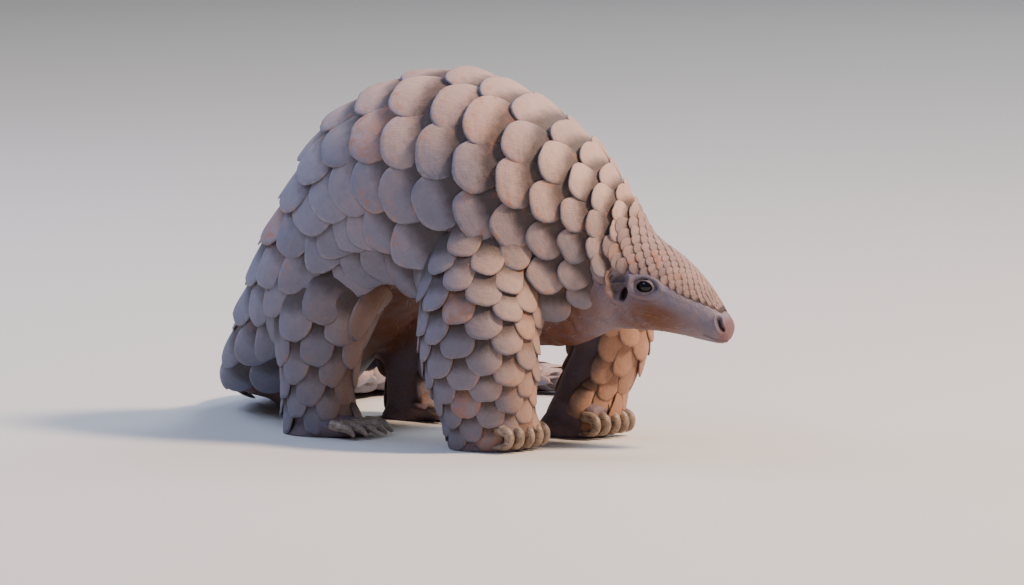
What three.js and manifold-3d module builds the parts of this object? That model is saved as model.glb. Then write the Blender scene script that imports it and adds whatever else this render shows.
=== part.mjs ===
// A life-size Indian pangolin, walking with its back arched and its head low and turned a little to its left.
// Millimetres. +X is the way the trunk faces, +Y is the animal's left and +Z is up.
// The four feet and the underside of the tail rest on small flats at Z = 0.
import * as THREE from "three";
import { mergeVertices } from "three/addons/utils/BufferGeometryUtils.js";
import Module from "manifold-3d";

const manifold = await Module();
manifold.setup();

// Clearances and fineness
const PART_GAP = 0.3; // air between two nodes that touch
const FINEST = 0.02; // edges of joints and cuts finer than this are merged
const BODY_RINGS = 42;
const BODY_SIDES = 16;
const RINGS_FORWARD = 1.5; // above 1 the rings stand closer towards the nose
const LEG_RINGS = 7;
const LEG_SIDES = 10;

// The body from the nose to the tail's tip, measured over the tips of the scales.
// Each station has its centre, half its width, and its height above and below the centre.
const BODY_STATIONS = {
  noseTip: { at: [232, 39, 80], wide: 5, above: 5, below: 5 },
  nosePad: { at: [228, 38, 81], wide: 10, above: 9, below: 10 },
  muzzle: { at: [219, 35, 86], wide: 14, above: 14, below: 14 },
  cheek: { at: [204, 30, 95], wide: 21, above: 22, below: 20 },
  eyes: { at: [187, 24, 104], wide: 27, above: 29, below: 27 },
  ears: { at: [168, 18, 111], wide: 31, above: 35, below: 33 },
  nape: { at: [147, 11, 120], wide: 40, above: 50, below: 58 },
  neck: { at: [122, 5, 132], wide: 54, above: 64, below: 74 },
  shoulders: { at: [92, 1, 146], wide: 70, above: 76, below: 84 },
  chest: { at: [55, 0, 158], wide: 80, above: 85, below: 84 },
  back: { at: [15, 0, 167], wide: 84, above: 86, below: 76 },
  loin: { at: [-24, 0, 158], wide: 83, above: 80, below: 70 },
  hips: { at: [-60, 0, 130], wide: 79, above: 61, below: 64 },
  rump: { at: [-87, 2, 94], wide: 76, above: 54, below: 50 },
  tailRoot: { at: [-116, 6, 60], wide: 64, above: 42, below: 36 },
  tailFall: { at: [-144, 19, 35], wide: 54, above: 31, below: 27 },
  tailBend: { at: [-178, 50, 22], wide: 49, above: 25, below: 23 },
  tailCurve: { at: [-199, 100, 19], wide: 44, above: 22, below: 20 },
  tailMiddle: { at: [-204, 155, 17], wide: 39, above: 20, below: 18 },
  tailTurn: { at: [-172, 208, 15], wide: 32, above: 17, below: 16 },
  tailEnd: { at: [-116, 240, 12], wide: 24, above: 13, below: 13 },
  tailTip: { at: [-52, 252, 9], wide: 8, above: 6, below: 6 },
};

// Each leg from inside the trunk down to just under the floor, where its sole is cut flat.
const LEG_STATIONS = {
  foreleg_right: [
    { at: [80, -30, 148], wide: 34, deep: 38 },
    { at: [87, -52, 110], wide: 37, deep: 44 },
    { at: [94, -60, 78], wide: 38, deep: 46 },
    { at: [97, -60, 50], wide: 36, deep: 43 },
    { at: [98, -57, 26], wide: 31, deep: 36 },
    { at: [97, -54, 6], wide: 28, deep: 30 },
    { at: [96, -53, -6], wide: 24, deep: 25 },
  ],
  foreleg_left: [
    { at: [92, 32, 134], wide: 32, deep: 36 },
    { at: [110, 56, 92], wide: 31, deep: 34 },
    { at: [110, 60, 62], wide: 27, deep: 30 },
    { at: [102, 55, 42], wide: 25, deep: 28 },
    { at: [94, 50, 22], wide: 24, deep: 26 },
    { at: [90, 46, 6], wide: 24, deep: 26 },
    { at: [89, 45, -6], wide: 21, deep: 22 },
  ],
  hindleg_right: [
    { at: [-46, -28, 126], wide: 34, deep: 46 },
    { at: [-50, -54, 86], wide: 34, deep: 46 },
    { at: [-49, -60, 56], wide: 29, deep: 34 },
    { at: [-50, -61, 28], wide: 26, deep: 28 },
    { at: [-49, -60, 6], wide: 25, deep: 29 },
    { at: [-49, -60, -6], wide: 22, deep: 26 },
  ],
  hindleg_left: [
    { at: [-46, 28, 126], wide: 34, deep: 46 },
    { at: [-56, 54, 86], wide: 34, deep: 46 },
    { at: [-62, 60, 56], wide: 29, deep: 34 },
    { at: [-66, 61, 28], wide: 26, deep: 28 },
    { at: [-64, 60, 6], wide: 25, deep: 29 },
    { at: [-64, 60, -6], wide: 22, deep: 26 },
  ],
};

// The coat of scales along the body, at the same stations. Step is the distance between two scales of a row,
// rise how far their tips stand out, and reach how far round from the spine the coat goes, in degrees.
const COAT_STATIONS = {
  noseTip: { step: 20, rise: 0.8, reach: 30 },
  nosePad: { step: 20, rise: 0.9, reach: 36 },
  muzzle: { step: 25, rise: 1.2, reach: 52 },
  cheek: { step: 27, rise: 1.5, reach: 64 },
  eyes: { step: 30, rise: 1.8, reach: 66 },
  ears: { step: 34, rise: 3.4, reach: 74 },
  nape: { step: 34, rise: 5.2, reach: 116 },
  neck: { step: 38, rise: 6.6, reach: 126 },
  shoulders: { step: 43, rise: 8.0, reach: 120 },
  chest: { step: 47, rise: 8.5, reach: 116 },
  back: { step: 48, rise: 8.5, reach: 114 },
  loin: { step: 48, rise: 8.5, reach: 116 },
  hips: { step: 48, rise: 8.5, reach: 120 },
  rump: { step: 52, rise: 8.5, reach: 132 },
  tailRoot: { step: 54, rise: 8.0, reach: 146 },
  tailFall: { step: 62, rise: 7.5, reach: 130 },
  tailBend: { step: 70, rise: 7, reach: 120 },
  tailCurve: { step: 72, rise: 6.4, reach: 115 },
  tailMiddle: { step: 70, rise: 6, reach: 115 },
  tailTurn: { step: 58, rise: 5, reach: 115 },
  tailEnd: { step: 44, rise: 3.4, reach: 115 },
  tailTip: { step: 34, rise: 2.0, reach: 115 },
};
const COAT_FADE = 0.20; // radians over which the bare skin comes up beside the coat
const TRUNK_ROWS = 4; // rows of scales on each side of the row along the spine
const HEAD_ROWS = 3;
const TAIL_ROWS = 3;
const LEG_COAT = { step: 46, rise: 5.5, around: 6, bare: 2.2 };
const FLANK_DROOP = 0.72; // how far the scales of the flank point down rather than back, in radians
const SCALE_LENGTH = 1.35; // length of a scale, as a share of the step
const SCALE_WIDTH = 1.7; // and its width, as a share of the distance between two rows

const UP = new THREE.Vector3(0, 0, 1);
const FORWARD = new THREE.Vector3(1, 0, 0);
const LEFT = new THREE.Vector3(0, 1, 0);
const vector = (triple) => new THREE.Vector3(...triple);

// Turns a three.js shape into a closed solid that can be joined and cut.
function solid(geometry) {
  const bare = new THREE.BufferGeometry().setAttribute("position", geometry.getAttribute("position").clone());
  if (geometry.index) bare.setIndex(geometry.index.clone());
  const welded = mergeVertices(bare, 1e-4);
  return new manifold.Manifold(new manifold.Mesh({
    numProp: 3,
    vertProperties: new Float32Array(welded.getAttribute("position").array),
    triVerts: new Uint32Array(welded.index.array),
  }));
}

// Closes a row of rings, each with the same number of points, into one skin with a flat end at each side.
function skinOver(rings) {
  const sides = rings[0].length;
  const end = (rings.length - 1) * sides;
  const position = [];
  const index = [];
  const sumOf = (ring) => ring.reduce((sum, point) => sum.add(point), new THREE.Vector3());
  const middle = (ring) => sumOf(ring).divideScalar(sides);
  rings.forEach((ring) => ring.forEach((point) => position.push(...point)));
  position.push(...middle(rings[0]), ...middle(rings.at(-1)));
  const first = rings.length * sides;
  for (let i = 0; i < sides; i++) {
    const j = (i + 1) % sides;
    for (let r = 0; r < end; r += sides) {
      index.push(r + i, r + j, r + i + sides);
      index.push(r + j, r + j + sides, r + i + sides);
    }
    index.push(first, j, i);
    index.push(first + 1, end + i, end + j);
  }
  return new THREE.BufferGeometry()
    .setAttribute("position", new THREE.Float32BufferAttribute(position, 3))
    .setIndex(index);
}

// The body's surface. Share runs 0 to 1 from the nose to the tail's tip, and the angle goes round from the
// middle of the back, positive towards the animal's left. Lift is the height above the tips of the scales.
const stations = Object.values(BODY_STATIONS);
const bodyLine = new THREE.CatmullRomCurve3(stations.map((s) => vector(s.at)));
const bodySize = new THREE.CatmullRomCurve3(stations.map((s) => new THREE.Vector3(s.wide, s.above, s.below)));
const coatStations = Object.values(COAT_STATIONS);
const coat = new THREE.CatmullRomCurve3(coatStations.map((s) => new THREE.Vector3(s.step, s.rise, s.reach)));
const stationShare = (name) => Object.keys(BODY_STATIONS).indexOf(name) / (stations.length - 1);

function bodyFrame(share) {
  const centre = bodyLine.getPoint(share);
  const along = bodyLine.getTangent(share);
  const left = new THREE.Vector3().crossVectors(along, UP).normalize();
  const up = new THREE.Vector3().crossVectors(left, along);
  return { centre, along, left, up, size: bodySize.getPoint(share) };
}

function bodyPoint(share, angle, lift = 0) {
  const { centre, left, up, size } = bodyFrame(share);
  const high = Math.cos(angle) > 0 ? size.y : size.z;
  return centre
    .addScaledVector(left, (size.x + lift) * Math.sin(angle))
    .addScaledVector(up, (high + lift) * Math.cos(angle));
}

function legFrame(leg, share) {
  const centre = leg.line.getPoint(share);
  const along = leg.line.getTangent(share);
  const left = new THREE.Vector3().crossVectors(along, FORWARD).normalize();
  const up = new THREE.Vector3().crossVectors(left, along);
  return { centre, along, left, up };
}

function legPoint(leg, share, angle, lift = 0) {
  const { centre, left, up } = legFrame(leg, share);
  const size = leg.size.getPoint(share);
  return centre
    .addScaledVector(left, (size.x + lift) * Math.sin(angle))
    .addScaledVector(up, (size.y + lift) * Math.cos(angle));
}

const shares = (count) => Array.from({ length: count }, (_, i) => i / (count - 1));
const angles = (count) => Array.from({ length: count }, (_, i) => (i / count) * 2 * Math.PI);

function rows(count, sides, point) {
  return shares(count).map((share) => angles(sides).map((angle) => point(share, angle)));
}

const legs = Object.fromEntries(Object.entries(LEG_STATIONS).map(([name, list]) => [name, {
  line: new THREE.CatmullRomCurve3(list.map((s) => vector(s.at))),
  size: new THREE.CatmullRomCurve3(list.map((s) => new THREE.Vector3(s.wide, s.deep, s.deep))),
}]));

// Small shapes the head and the feet are made from
const place = (geometry, matrix) => solid(geometry.clone().applyMatrix4(matrix));
const matrixOf = (x, y, z, at) => new THREE.Matrix4().makeBasis(x, y, z).setPosition(at);

// A ball squashed to three half sizes, set at a point on the body with its third side along the normal.
function ballOn(share, angle, lift, [along, across, deep], sides = 9) {
  const at = bodyPoint(share, angle, lift);
  const { x, y, z } = surfaceAxes(share, angle);
  const ball = new THREE.SphereGeometry(1, sides, Math.round(sides * 0.7)).scale(along, across, deep);
  return place(ball, matrixOf(x, y, z, at));
}

// Axes at a point of the body: x runs back along it, y round it and z straight out of it.
function surfaceAxes(share, angle) {
  const here = bodyPoint(share, angle);
  const x = bodyPoint(share + 0.004, angle).sub(here).normalize();
  const round = bodyPoint(share, angle + 0.02).sub(here);
  const z = new THREE.Vector3().crossVectors(round, x).normalize();
  const y = new THREE.Vector3().crossVectors(z, x);
  return { x, y, z };
}

// A round rod along a curved line, thick at its root and narrowing to its point. Sideways is a direction that
// the line never takes. Grown, the rod is larger all round and at both ends.
function horn(points, radii, sideways, grow = 0, sides = 5) {
  const line = new THREE.CatmullRomCurve3(points);
  const size = new THREE.CatmullRomCurve3(radii.map(([wide, high]) => new THREE.Vector3(wide, high, 0)));
  const rings = shares(points.length).map((share) => {
    const along = line.getTangent(share);
    const beyond = share === 0 ? -grow : share === 1 ? grow : 0;
    const centre = line.getPoint(share).addScaledVector(along, beyond);
    const side = sideways.clone().addScaledVector(along, -sideways.dot(along)).normalize();
    const up = new THREE.Vector3().crossVectors(side, along);
    const { x, y } = size.getPoint(share);
    return angles(sides).map((a) => centre.clone()
      .addScaledVector(side, (x + grow) * Math.sin(a))
      .addScaledVector(up, (y + grow) * Math.cos(a)));
  });
  return solid(skinOver(rings));
}

// The head
const EYE = { share: stationShare("eyes") + 0.014, angle: 1.40, radius: 5.4 };
const EAR = { share: stationShare("ears"), angle: 1.60 };
const NOSTRIL = { share: stationShare("nosePad") + 0.010, angle: 1.38 };
const LID_RISE = 1.6; // how far the lids stand out round the eye
const MOUTH_CUT = 0.9; // height of the line of the mouth

const between = (from, to, share) => from + (to - from) * share;

// The rim of the ear is a fleshy crescent behind the opening.
function earRim(side, grow) {
  const points = [-1, -0.5, 0, 0.5, 1].map((t) => bodyPoint(
    EAR.share + 0.020 - 0.015 * t * t,
    side * (EAR.angle + 0.40 * t),
    1.2 - 0.8 * Math.abs(t),
  ));
  return horn(points, [[1.6, 1.6], [3.6, 3], [4.2, 3.4], [3.4, 2.8], [1.4, 1.4]], FORWARD, grow);
}

function eyeBall(side, grow) {
  return ballOn(EYE.share, side * EYE.angle, -3.1, [1, 1, 1].map((r) => r * (EYE.radius + grow)), 10);
}

// What is added to the head's surface, and what is then cut from it, on one side.
function headAdded(side) {
  const lids = ballOn(EYE.share, side * EYE.angle, -4.2, [9.4, 7.6, 5.6 + LID_RISE]);
  const nostrilWing = ballOn(NOSTRIL.share + 0.003, side * (NOSTRIL.angle - 0.3), -2, [6, 5, 4]);
  return lids.add(nostrilWing);
}

function headCut(side) {
  const opening = ballOn(EYE.share, side * EYE.angle, 1, [4.9, 3.4, 6]);
  const cup = ballOn(EAR.share + 0.004, side * EAR.angle, 0.6, [6.5, 10, 5]);
  const canal = ballOn(EAR.share + 0.002, side * (EAR.angle + 0.14), -4, [2.4, 3.6, 6], 8);
  const nostril = ballOn(NOSTRIL.share, side * NOSTRIL.angle, -0.4, [3.6, 1.7, 4.2], 8);
  return [opening, eyeBall(side, PART_GAP), cup, canal, nostril, earRim(side, PART_GAP)];
}

// The line of the mouth is a thin level slot round the front of the snout, under the nose.
function mouthCut() {
  const { centre, along, left, up } = bodyFrame(stationShare("nosePad") + 0.006);
  const slot = new THREE.SphereGeometry(1, 10, 4).scale(15, 17, MOUTH_CUT);
  return place(slot, matrixOf(left, along, up, centre.addScaledVector(up, -5.2)));
}

// Feet. The forefeet stand on the wrist, with the long claws folded back under a hollow behind the knuckles.
// The hind feet stand flat with five short claws forward.
const FOREFOOT = [
  { ahead: -6, high: 20, wide: 20, thick: 18 },
  { ahead: 10, high: 22, wide: 24, thick: 17 },
  { ahead: 24, high: 20, wide: 24, thick: 14 },
  { ahead: 34, high: 17, wide: 21, thick: 11 },
  { ahead: 38, high: 15, wide: 13, thick: 6 },
];
const HINDFOOT = [
  { ahead: -18, high: 12, wide: 18, thick: 14 },
  { ahead: 0, high: 12, wide: 23, thick: 15 },
  { ahead: 20, high: 10, wide: 26, thick: 12 },
  { ahead: 33, high: 8, wide: 25, thick: 9 },
  { ahead: 40, high: 7, wide: 16, thick: 5 },
];
const PALM_HOLLOW = { ahead: 27, long: 20, wide: 23, high: 10 };
const CLAW_SPREAD = {
  foreclaw: [
    { across: -18.6, long: 0.5 },
    { across: -9.7, long: 0.9 },
    { across: 0.4, long: 1 },
    { across: 10.2, long: 0.85 },
    { across: 19.1, long: 0.45 },
  ],
  hindclaw: [
    { across: -17.7, long: 0.75 },
    { across: -8.8, long: 0.94 },
    { across: 0.3, long: 1 },
    { across: 9.1, long: 0.92 },
    { across: 17.9, long: 0.72 },
  ],
};

const isFore = (leg) => leg.startsWith("fore");
const soleOf = (leg) => vector(LEG_STATIONS[leg].at(-2).at).setZ(0);

function foot(leg) {
  const sole = soleOf(leg);
  const list = isFore(leg) ? FOREFOOT : HINDFOOT;
  const centres = list.map((s) => sole.clone().add(new THREE.Vector3(s.ahead, 0, s.high)));
  const line = new THREE.CatmullRomCurve3(centres);
  const size = new THREE.CatmullRomCurve3(list.map((s) => new THREE.Vector3(s.wide, s.thick, 0)));
  return solid(skinOver(rows(6, 11, (share, angle) => {
    const { x, y } = size.getPoint(share);
    return line.getPoint(share).add(new THREE.Vector3(0, -x * Math.sin(angle), y * Math.cos(angle)));
  })));
}

function palmHollow(leg) {
  const { ahead, long, wide, high } = PALM_HOLLOW;
  const hollow = new THREE.SphereGeometry(1, 9, 6).scale(long, wide, high);
  return solid(hollow.translate(...soleOf(leg).add(new THREE.Vector3(ahead, 0, 0))));
}

function claw(leg, { across, long }, grow) {
  const sole = soleOf(leg);
  const at = (ahead, high, spread = 1) => sole.clone().add(new THREE.Vector3(ahead, across * spread, high));
  if (isFore(leg)) {
    const root = 31 - 4 * (1 - long);
    const curl = [[-7, 15.6], [0, 15.4], [4.2, 13.6], [5.6, 9.8], [3.8, 6], [-1, 4.4], [-4 - 14 * long, 3.4]];
    const sizes = [[3.4, 3.4], [3.8, 3.6], [3.9, 3.7], [3.8, 3.6], [3.6, 3.2], [3.1, 2.7], [0.9, 0.9]];
    return horn(curl.map(([ahead, high]) => at(root + ahead, high)), sizes, LEFT, grow);
  }
  const tip = 36 + 18 * long;
  const points = [at(26, 9), at(36, 8.6, 1.05), at((36 + tip) / 2, 7.2, 1.1), at(tip, 2.6, 1.12)];
  return horn(points, [[3.6, 3.8], [3.6, 3.6], [2.8, 2.8], [0.9, 0.9]], LEFT, grow);
}

// Scales. Each is a low wedge with a rounded tip, its root sunk in the skin under the scales ahead of it.
// Its outline is drawn flat, from its root at -0.5 to its tip at 0.5 and 1 wide, and laid on the surface.
const SCALE_OUTLINE = [[-0.5, -0.34], [0.14, -0.5], [0.47, -0.2], [0.47, 0.2], [0.14, 0.5], [-0.5, 0.34]];
const SCALE_CREST = { at: [0.06, 0], depth: 0.3 }; // the dome's top, its depth a share of the rise
const SCALE_SLOPE = 0.85; // how far the top falls from tip to root, as a share of the rise
const SCALE_ROUND = 0.25; // and how far it falls towards its sides
const SCALE_SINK = 2.2; // how deep the underside lies below the skin

let seed = 20;
function chance(from, to) {
  seed = (seed * 16807) % 2147483647;
  return from + ((to - from) * seed) / 2147483647;
}

// Lays one scale on a surface. The surface gives a point from a share, an angle and a lift, and turn is the
// scale's heading away from straight back.
function scale(surface, share, angle, { long, wide, rise, turn }) {
  const here = surface(share, angle, 0);
  const byShare = surface(share + 0.002, angle, 0).sub(here).divideScalar(0.002);
  const byAngle = surface(share, angle + 0.01, 0).sub(here).divideScalar(0.01);
  const back = byShare.clone().normalize();
  const across = byAngle.clone().addScaledVector(back, -byAngle.dot(back)).normalize();
  const ahead = back.clone().multiplyScalar(Math.cos(turn)).addScaledVector(across, Math.sin(turn));
  const beside = across.clone().multiplyScalar(Math.cos(turn)).addScaledVector(back, -Math.sin(turn));
  const lay = ([x, y], lift) => {
    const step = ahead.clone().multiplyScalar(x * long).addScaledVector(beside, y * wide);
    const round = step.dot(across) / byAngle.dot(across);
    const along = (step.dot(back) - round * byAngle.dot(back)) / byShare.length();
    return surface(share + along, angle + round, lift);
  };
  const sides = SCALE_OUTLINE.length;
  const fall = ([x, y]) => SCALE_SLOPE * (0.5 - x) + SCALE_ROUND * Math.abs(y);
  const top = SCALE_OUTLINE.map((corner) => lay(corner, -rise * fall(corner)));
  const low = SCALE_OUTLINE.map(([x, y]) => lay([x * 0.96, y * 0.94], -rise - SCALE_SINK));
  const crest = lay(SCALE_CREST.at, -rise * SCALE_CREST.depth);
  const points = [...top, ...low, crest, lay([0, 0], -rise - SCALE_SINK - 1)];
  const index = [];
  for (let i = 0; i < sides; i++) {
    const j = (i + 1) % sides;
    index.push(j, i, 2 * sides);
    index.push(i, j, sides + i);
    index.push(j, sides + j, sides + i);
    index.push(sides + i, sides + j, 2 * sides + 1);
  }
  return solid(new THREE.BufferGeometry()
    .setAttribute("position", new THREE.Float32BufferAttribute(points.flatMap((p) => [p.x, p.y, p.z]), 3))
    .setIndex(index));
}

const degrees = Math.PI / 180;
const smooth = (x) => THREE.MathUtils.smoothstep(x, 0, 1);

// The angle between two directions round the body, without its sign.
function apart(a, b) {
  return Math.abs(THREE.MathUtils.euclideanModulo(a - b + Math.PI, 2 * Math.PI) - Math.PI);
}

// How far the skin lies below the tips of the scales at a point of the body: nothing where it is bare.
function coatDepth(share, angle) {
  const { y: rise, z: reach } = coat.getPoint(share);
  return rise * smooth((reach * degrees + COAT_FADE - apart(angle, 0)) / COAT_FADE);
}

// How far out a point lies from the line of a leg or of the body, 1 being its surface. A scale that would lie
// inside the other one is left out.
function depthIn(point, size, frameOf) {
  let best = 9;
  for (const share of shares(60)) {
    const { centre, along, left, up } = frameOf(share);
    const { x: wide, y: above, z: below } = size.getPoint(share);
    const from = point.clone().sub(centre);
    if (Math.abs(from.dot(along)) > 9) continue;
    const high = from.dot(up) > 0 ? above : below;
    best = Math.min(best, Math.hypot(from.dot(left) / wide, from.dot(up) / high));
  }
  return best;
}

function bodyScales() {
  const scales = [];
  const lengthOf = (share) => bodyPoint(share + 0.002, 1).distanceTo(bodyPoint(share, 1)) / 0.002;
  let share = stationShare("muzzle") - 0.026;
  const tailStart = stationShare("rump") + 0.03;
  for (let ring = 0; share < 0.985; ring++) {
    const { x: step, y: rise, z: reach } = coat.getPoint(share);
    const onTail = share > tailStart;
    const onHead = share < stationShare("ears") + 0.01;
    const trunkOrHead = onHead ? HEAD_ROWS : TRUNK_ROWS;
    const rowsHere = onTail ? TAIL_ROWS : trunkOrHead;
    const spacing = (reach * degrees) / (rowsHere + 0.2);
    const half = step / 2 / lengthOf(share);
    for (let row = -rowsHere; row <= rowsHere; row++) {
      if ((row + ring) % 2 !== 0) continue;
      const angle = row * spacing + chance(-0.02, 0.02);
      const there = bodyPoint(share, angle);
      if (there.z < 9) continue;
      const inLeg = (leg) => depthIn(there, leg.size, (t) => legFrame(leg, t)) < 0.9;
      if (Object.values(legs).some(inLeg)) continue;
      const across = bodyPoint(share, angle + 0.02).distanceTo(there) / 0.02;
      const droop = onTail ? 0 : FLANK_DROOP * Math.sin(angle) * smooth(Math.abs(angle) / 1.2);
      scales.push(scale((s, a, lift) => bodyPoint(Math.min(Math.max(s, 0), 1), a, lift), share, angle, {
        long: step * SCALE_LENGTH * chance(0.96, 1.05),
        wide: across * spacing * SCALE_WIDTH * chance(0.95, 1.05),
        rise: rise * chance(0.9, 1),
        turn: droop + chance(-0.06, 0.06),
      }));
    }
    share += half;
  }
  return scales;
}

function legScales(name, leg) {
  const scales = [];
  const side = name.endsWith("left") ? -1 : 1;
  const spacing = (2 * Math.PI) / LEG_COAT.around;
  const lengthOf = (share) => leg.line.getPoint(share + 0.002).distanceTo(leg.line.getPoint(share)) / 0.002;
  let share = 0.24;
  for (let ring = 0; share < 0.86; ring++) {
    const half = LEG_COAT.step / 2 / lengthOf(share);
    for (let row = 0; row < LEG_COAT.around; row++) {
      if ((row + ring) % 2 !== 0) continue;
      const angle = row * spacing + chance(-0.03, 0.03);
      if (apart(angle, side * 1.2) > LEG_COAT.bare) continue;
      const there = legPoint(leg, share, angle);
      if (there.z < 14) continue;
      if (depthIn(there, bodySize, bodyFrame) < 1.04) continue;
      const across = legPoint(leg, share, angle + 0.02).distanceTo(there) / 0.02;
      scales.push(scale((s, a, lift) => legPoint(leg, Math.min(Math.max(s, 0), 1), a, lift), share, angle, {
        long: LEG_COAT.step * SCALE_LENGTH * chance(0.95, 1.05),
        wide: across * spacing * SCALE_WIDTH * chance(0.95, 1.05),
        rise: LEG_COAT.rise * chance(0.9, 1),
        turn: chance(-0.08, 0.08),
      }));
    }
    share += half;
  }
  return scales;
}

// Joins the body, the legs and the feet into one skin, and cuts it flat at the floor.
const bodySkin = (spread, angle) => {
  const share = spread ** RINGS_FORWARD;
  return bodyPoint(share, angle, -coatDepth(share, angle));
};
let skin = solid(skinOver(rows(BODY_RINGS, BODY_SIDES, bodySkin)));
const scalesOn = bodyScales();
for (const side of [-1, 1]) skin = skin.add(headAdded(side));
for (const [name, leg] of Object.entries(legs)) {
  const legSkin = (share, angle) => legPoint(leg, share, angle, -LEG_COAT.rise * smooth((0.9 - share) * 8));
  skin = skin.add(solid(skinOver(rows(LEG_RINGS, LEG_SIDES, legSkin))));
  skin = skin.add(foot(name));
  scalesOn.push(...legScales(name, leg));
  if (isFore(name)) skin = skin.subtract(palmHollow(name));
}
skin = manifold.Manifold.union([skin, ...scalesOn]);
skin = skin.subtract(solid(new THREE.BoxGeometry(1000, 1000, 100).translate(0, 0, -50)));

// Claws, eyes and ears are parts of their own, each in a seat cut a little larger.
const parts = {};
for (const leg of Object.keys(legs)) {
  const kind = isFore(leg) ? "foreclaw" : "hindclaw";
  CLAW_SPREAD[kind].forEach((shape, i) => {
    parts[`${kind}_${leg.split("_")[1]}_${i + 1}`] = claw(leg, shape, 0);
    skin = skin.subtract(claw(leg, shape, PART_GAP));
  });
}
for (const [where, side] of [["right", -1], ["left", 1]]) {
  for (const cut of headCut(side)) skin = skin.subtract(cut);
  parts[`eye_${where}`] = eyeBall(side, 0);
  parts[`ear_${where}`] = earRim(side, 0);
}
skin = skin.subtract(mouthCut());

// Each leg is parted from the trunk by a plane that rises outward, and lies wholly under it.
const LEG_PLANES = { fore: { high: 84, tilt: 0.64 }, hind: { high: 58, tilt: 0.78 } };
const LEG_ROOM = { long: 124, wide: 150, deep: 200 };

function legRoom(leg, grow) {
  const side = leg.endsWith("left") ? 1 : -1;
  const { high, tilt } = LEG_PLANES[leg.slice(0, 4)];
  const { x, y } = soleOf(leg);
  const room = new THREE.BoxGeometry(LEG_ROOM.long + 2 * grow, LEG_ROOM.wide, LEG_ROOM.deep + 2 * grow);
  room.translate(0, side * (LEG_ROOM.wide / 2 - 74), -LEG_ROOM.deep / 2).rotateX(side * tilt);
  return solid(room.translate(x + 4, y, high));
}

const largest = (piece) => piece.simplify(FINEST).decompose().sort((a, b) => b.volume() - a.volume())[0];

for (const leg of Object.keys(legs)) {
  parts[leg] = largest(skin.intersect(legRoom(leg, 0)));
  skin = skin.subtract(legRoom(leg, PART_GAP));
}

// The rest is parted across its length, each part named by a point that lies inside it.
const BODY_CUTS = [5.65, 7.4, 9.5, 11.3, 12.9, 14.4, 17, 19.3];
const BODY_PARTS = [
  "head", "neck", "forequarters", "back", "hindquarters", "rump", "tail_base", "tail_middle", "tail_tip",
];
const lengthAt = (station) => station / (stations.length - 1);

for (const station of BODY_CUTS) {
  const { centre, along, left, up } = bodyFrame(lengthAt(station));
  skin = skin.subtract(place(new THREE.BoxGeometry(230, PART_GAP, 230), matrixOf(left, along, up, centre)));
}
const pieces = skin.decompose();
const partEnds = [0.5, ...BODY_CUTS, stations.length - 1.5];
BODY_PARTS.forEach((name, i) => {
  const inside = bodyLine.getPoint(lengthAt((partEnds[i] + partEnds[i + 1]) / 2));
  const probe = solid(new THREE.BoxGeometry(1, 1, 1).translate(...inside));
  parts[name] = pieces.find((piece) => piece.intersect(probe).volume() > 0);
});

// Colours seen on the animal in warm low sun
const LOOKS = {
  scale: { color: 0x8f7765, roughness: 0.78, metalness: 0 },
  face: { color: 0x9a7263, roughness: 0.8, metalness: 0 },
  eye: { color: 0x14171c, roughness: 0.12, metalness: 0 },
  ear: { color: 0xb08a76, roughness: 0.8, metalness: 0 },
  claw: { color: 0x7d6a58, roughness: 0.6, metalness: 0 },
};

function lookOf(name) {
  if (name.startsWith("eye")) return LOOKS.eye;
  if (name.startsWith("ear")) return LOOKS.ear;
  if (name.includes("claw")) return LOOKS.claw;
  return name === "head" ? LOOKS.face : LOOKS.scale;
}

// The origin is on the floor, under the middle of the whole animal.
const group = new THREE.Group();
for (const [name, part] of Object.entries(parts)) {
  const { vertProperties, triVerts } = largest(part).getMesh();
  const geometry = new THREE.BufferGeometry()
    .setAttribute("position", new THREE.BufferAttribute(vertProperties, 3))
    .setIndex(new THREE.BufferAttribute(triVerts, 1));
  const mesh = new THREE.Mesh(geometry, new THREE.MeshStandardMaterial(lookOf(name)));
  mesh.name = name;
  group.add(mesh);
}
const middle = new THREE.Box3().setFromObject(group).getCenter(new THREE.Vector3()).setZ(0);
for (const mesh of group.children) {
  mesh.geometry.translate(-middle.x, -middle.y, 0);
  mesh.geometry.computeVertexNormals();
}

export default group;
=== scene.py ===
# %% [markdown]
# # An Indian pangolin, life size
# A pangolin walks with its back arched, its head low and turned a little, and its long tail laid round
# behind it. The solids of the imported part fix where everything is. This script dresses them: one skin over
# the flesh, several hundred horn scales over the skin, the bare face with its eyes and ears, the claws and
# a few bristles. Everything is in metres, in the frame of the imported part.

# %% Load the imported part
import math
import random

import bmesh
import bpy
import numpy as np
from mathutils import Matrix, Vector


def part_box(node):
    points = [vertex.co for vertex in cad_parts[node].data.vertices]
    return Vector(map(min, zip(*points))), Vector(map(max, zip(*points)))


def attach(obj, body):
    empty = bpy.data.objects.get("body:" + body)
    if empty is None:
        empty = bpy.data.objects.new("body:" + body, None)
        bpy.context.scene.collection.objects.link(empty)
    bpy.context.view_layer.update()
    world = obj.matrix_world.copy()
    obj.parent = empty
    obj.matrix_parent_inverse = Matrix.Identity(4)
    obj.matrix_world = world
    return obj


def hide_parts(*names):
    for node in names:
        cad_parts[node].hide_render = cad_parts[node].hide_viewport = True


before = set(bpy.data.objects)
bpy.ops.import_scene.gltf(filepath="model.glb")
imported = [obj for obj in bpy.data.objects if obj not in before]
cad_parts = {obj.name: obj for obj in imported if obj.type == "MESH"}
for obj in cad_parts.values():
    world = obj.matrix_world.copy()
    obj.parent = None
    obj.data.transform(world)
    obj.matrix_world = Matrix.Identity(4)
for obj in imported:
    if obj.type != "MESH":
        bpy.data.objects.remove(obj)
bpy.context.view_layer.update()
MM = 0.001

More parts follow.
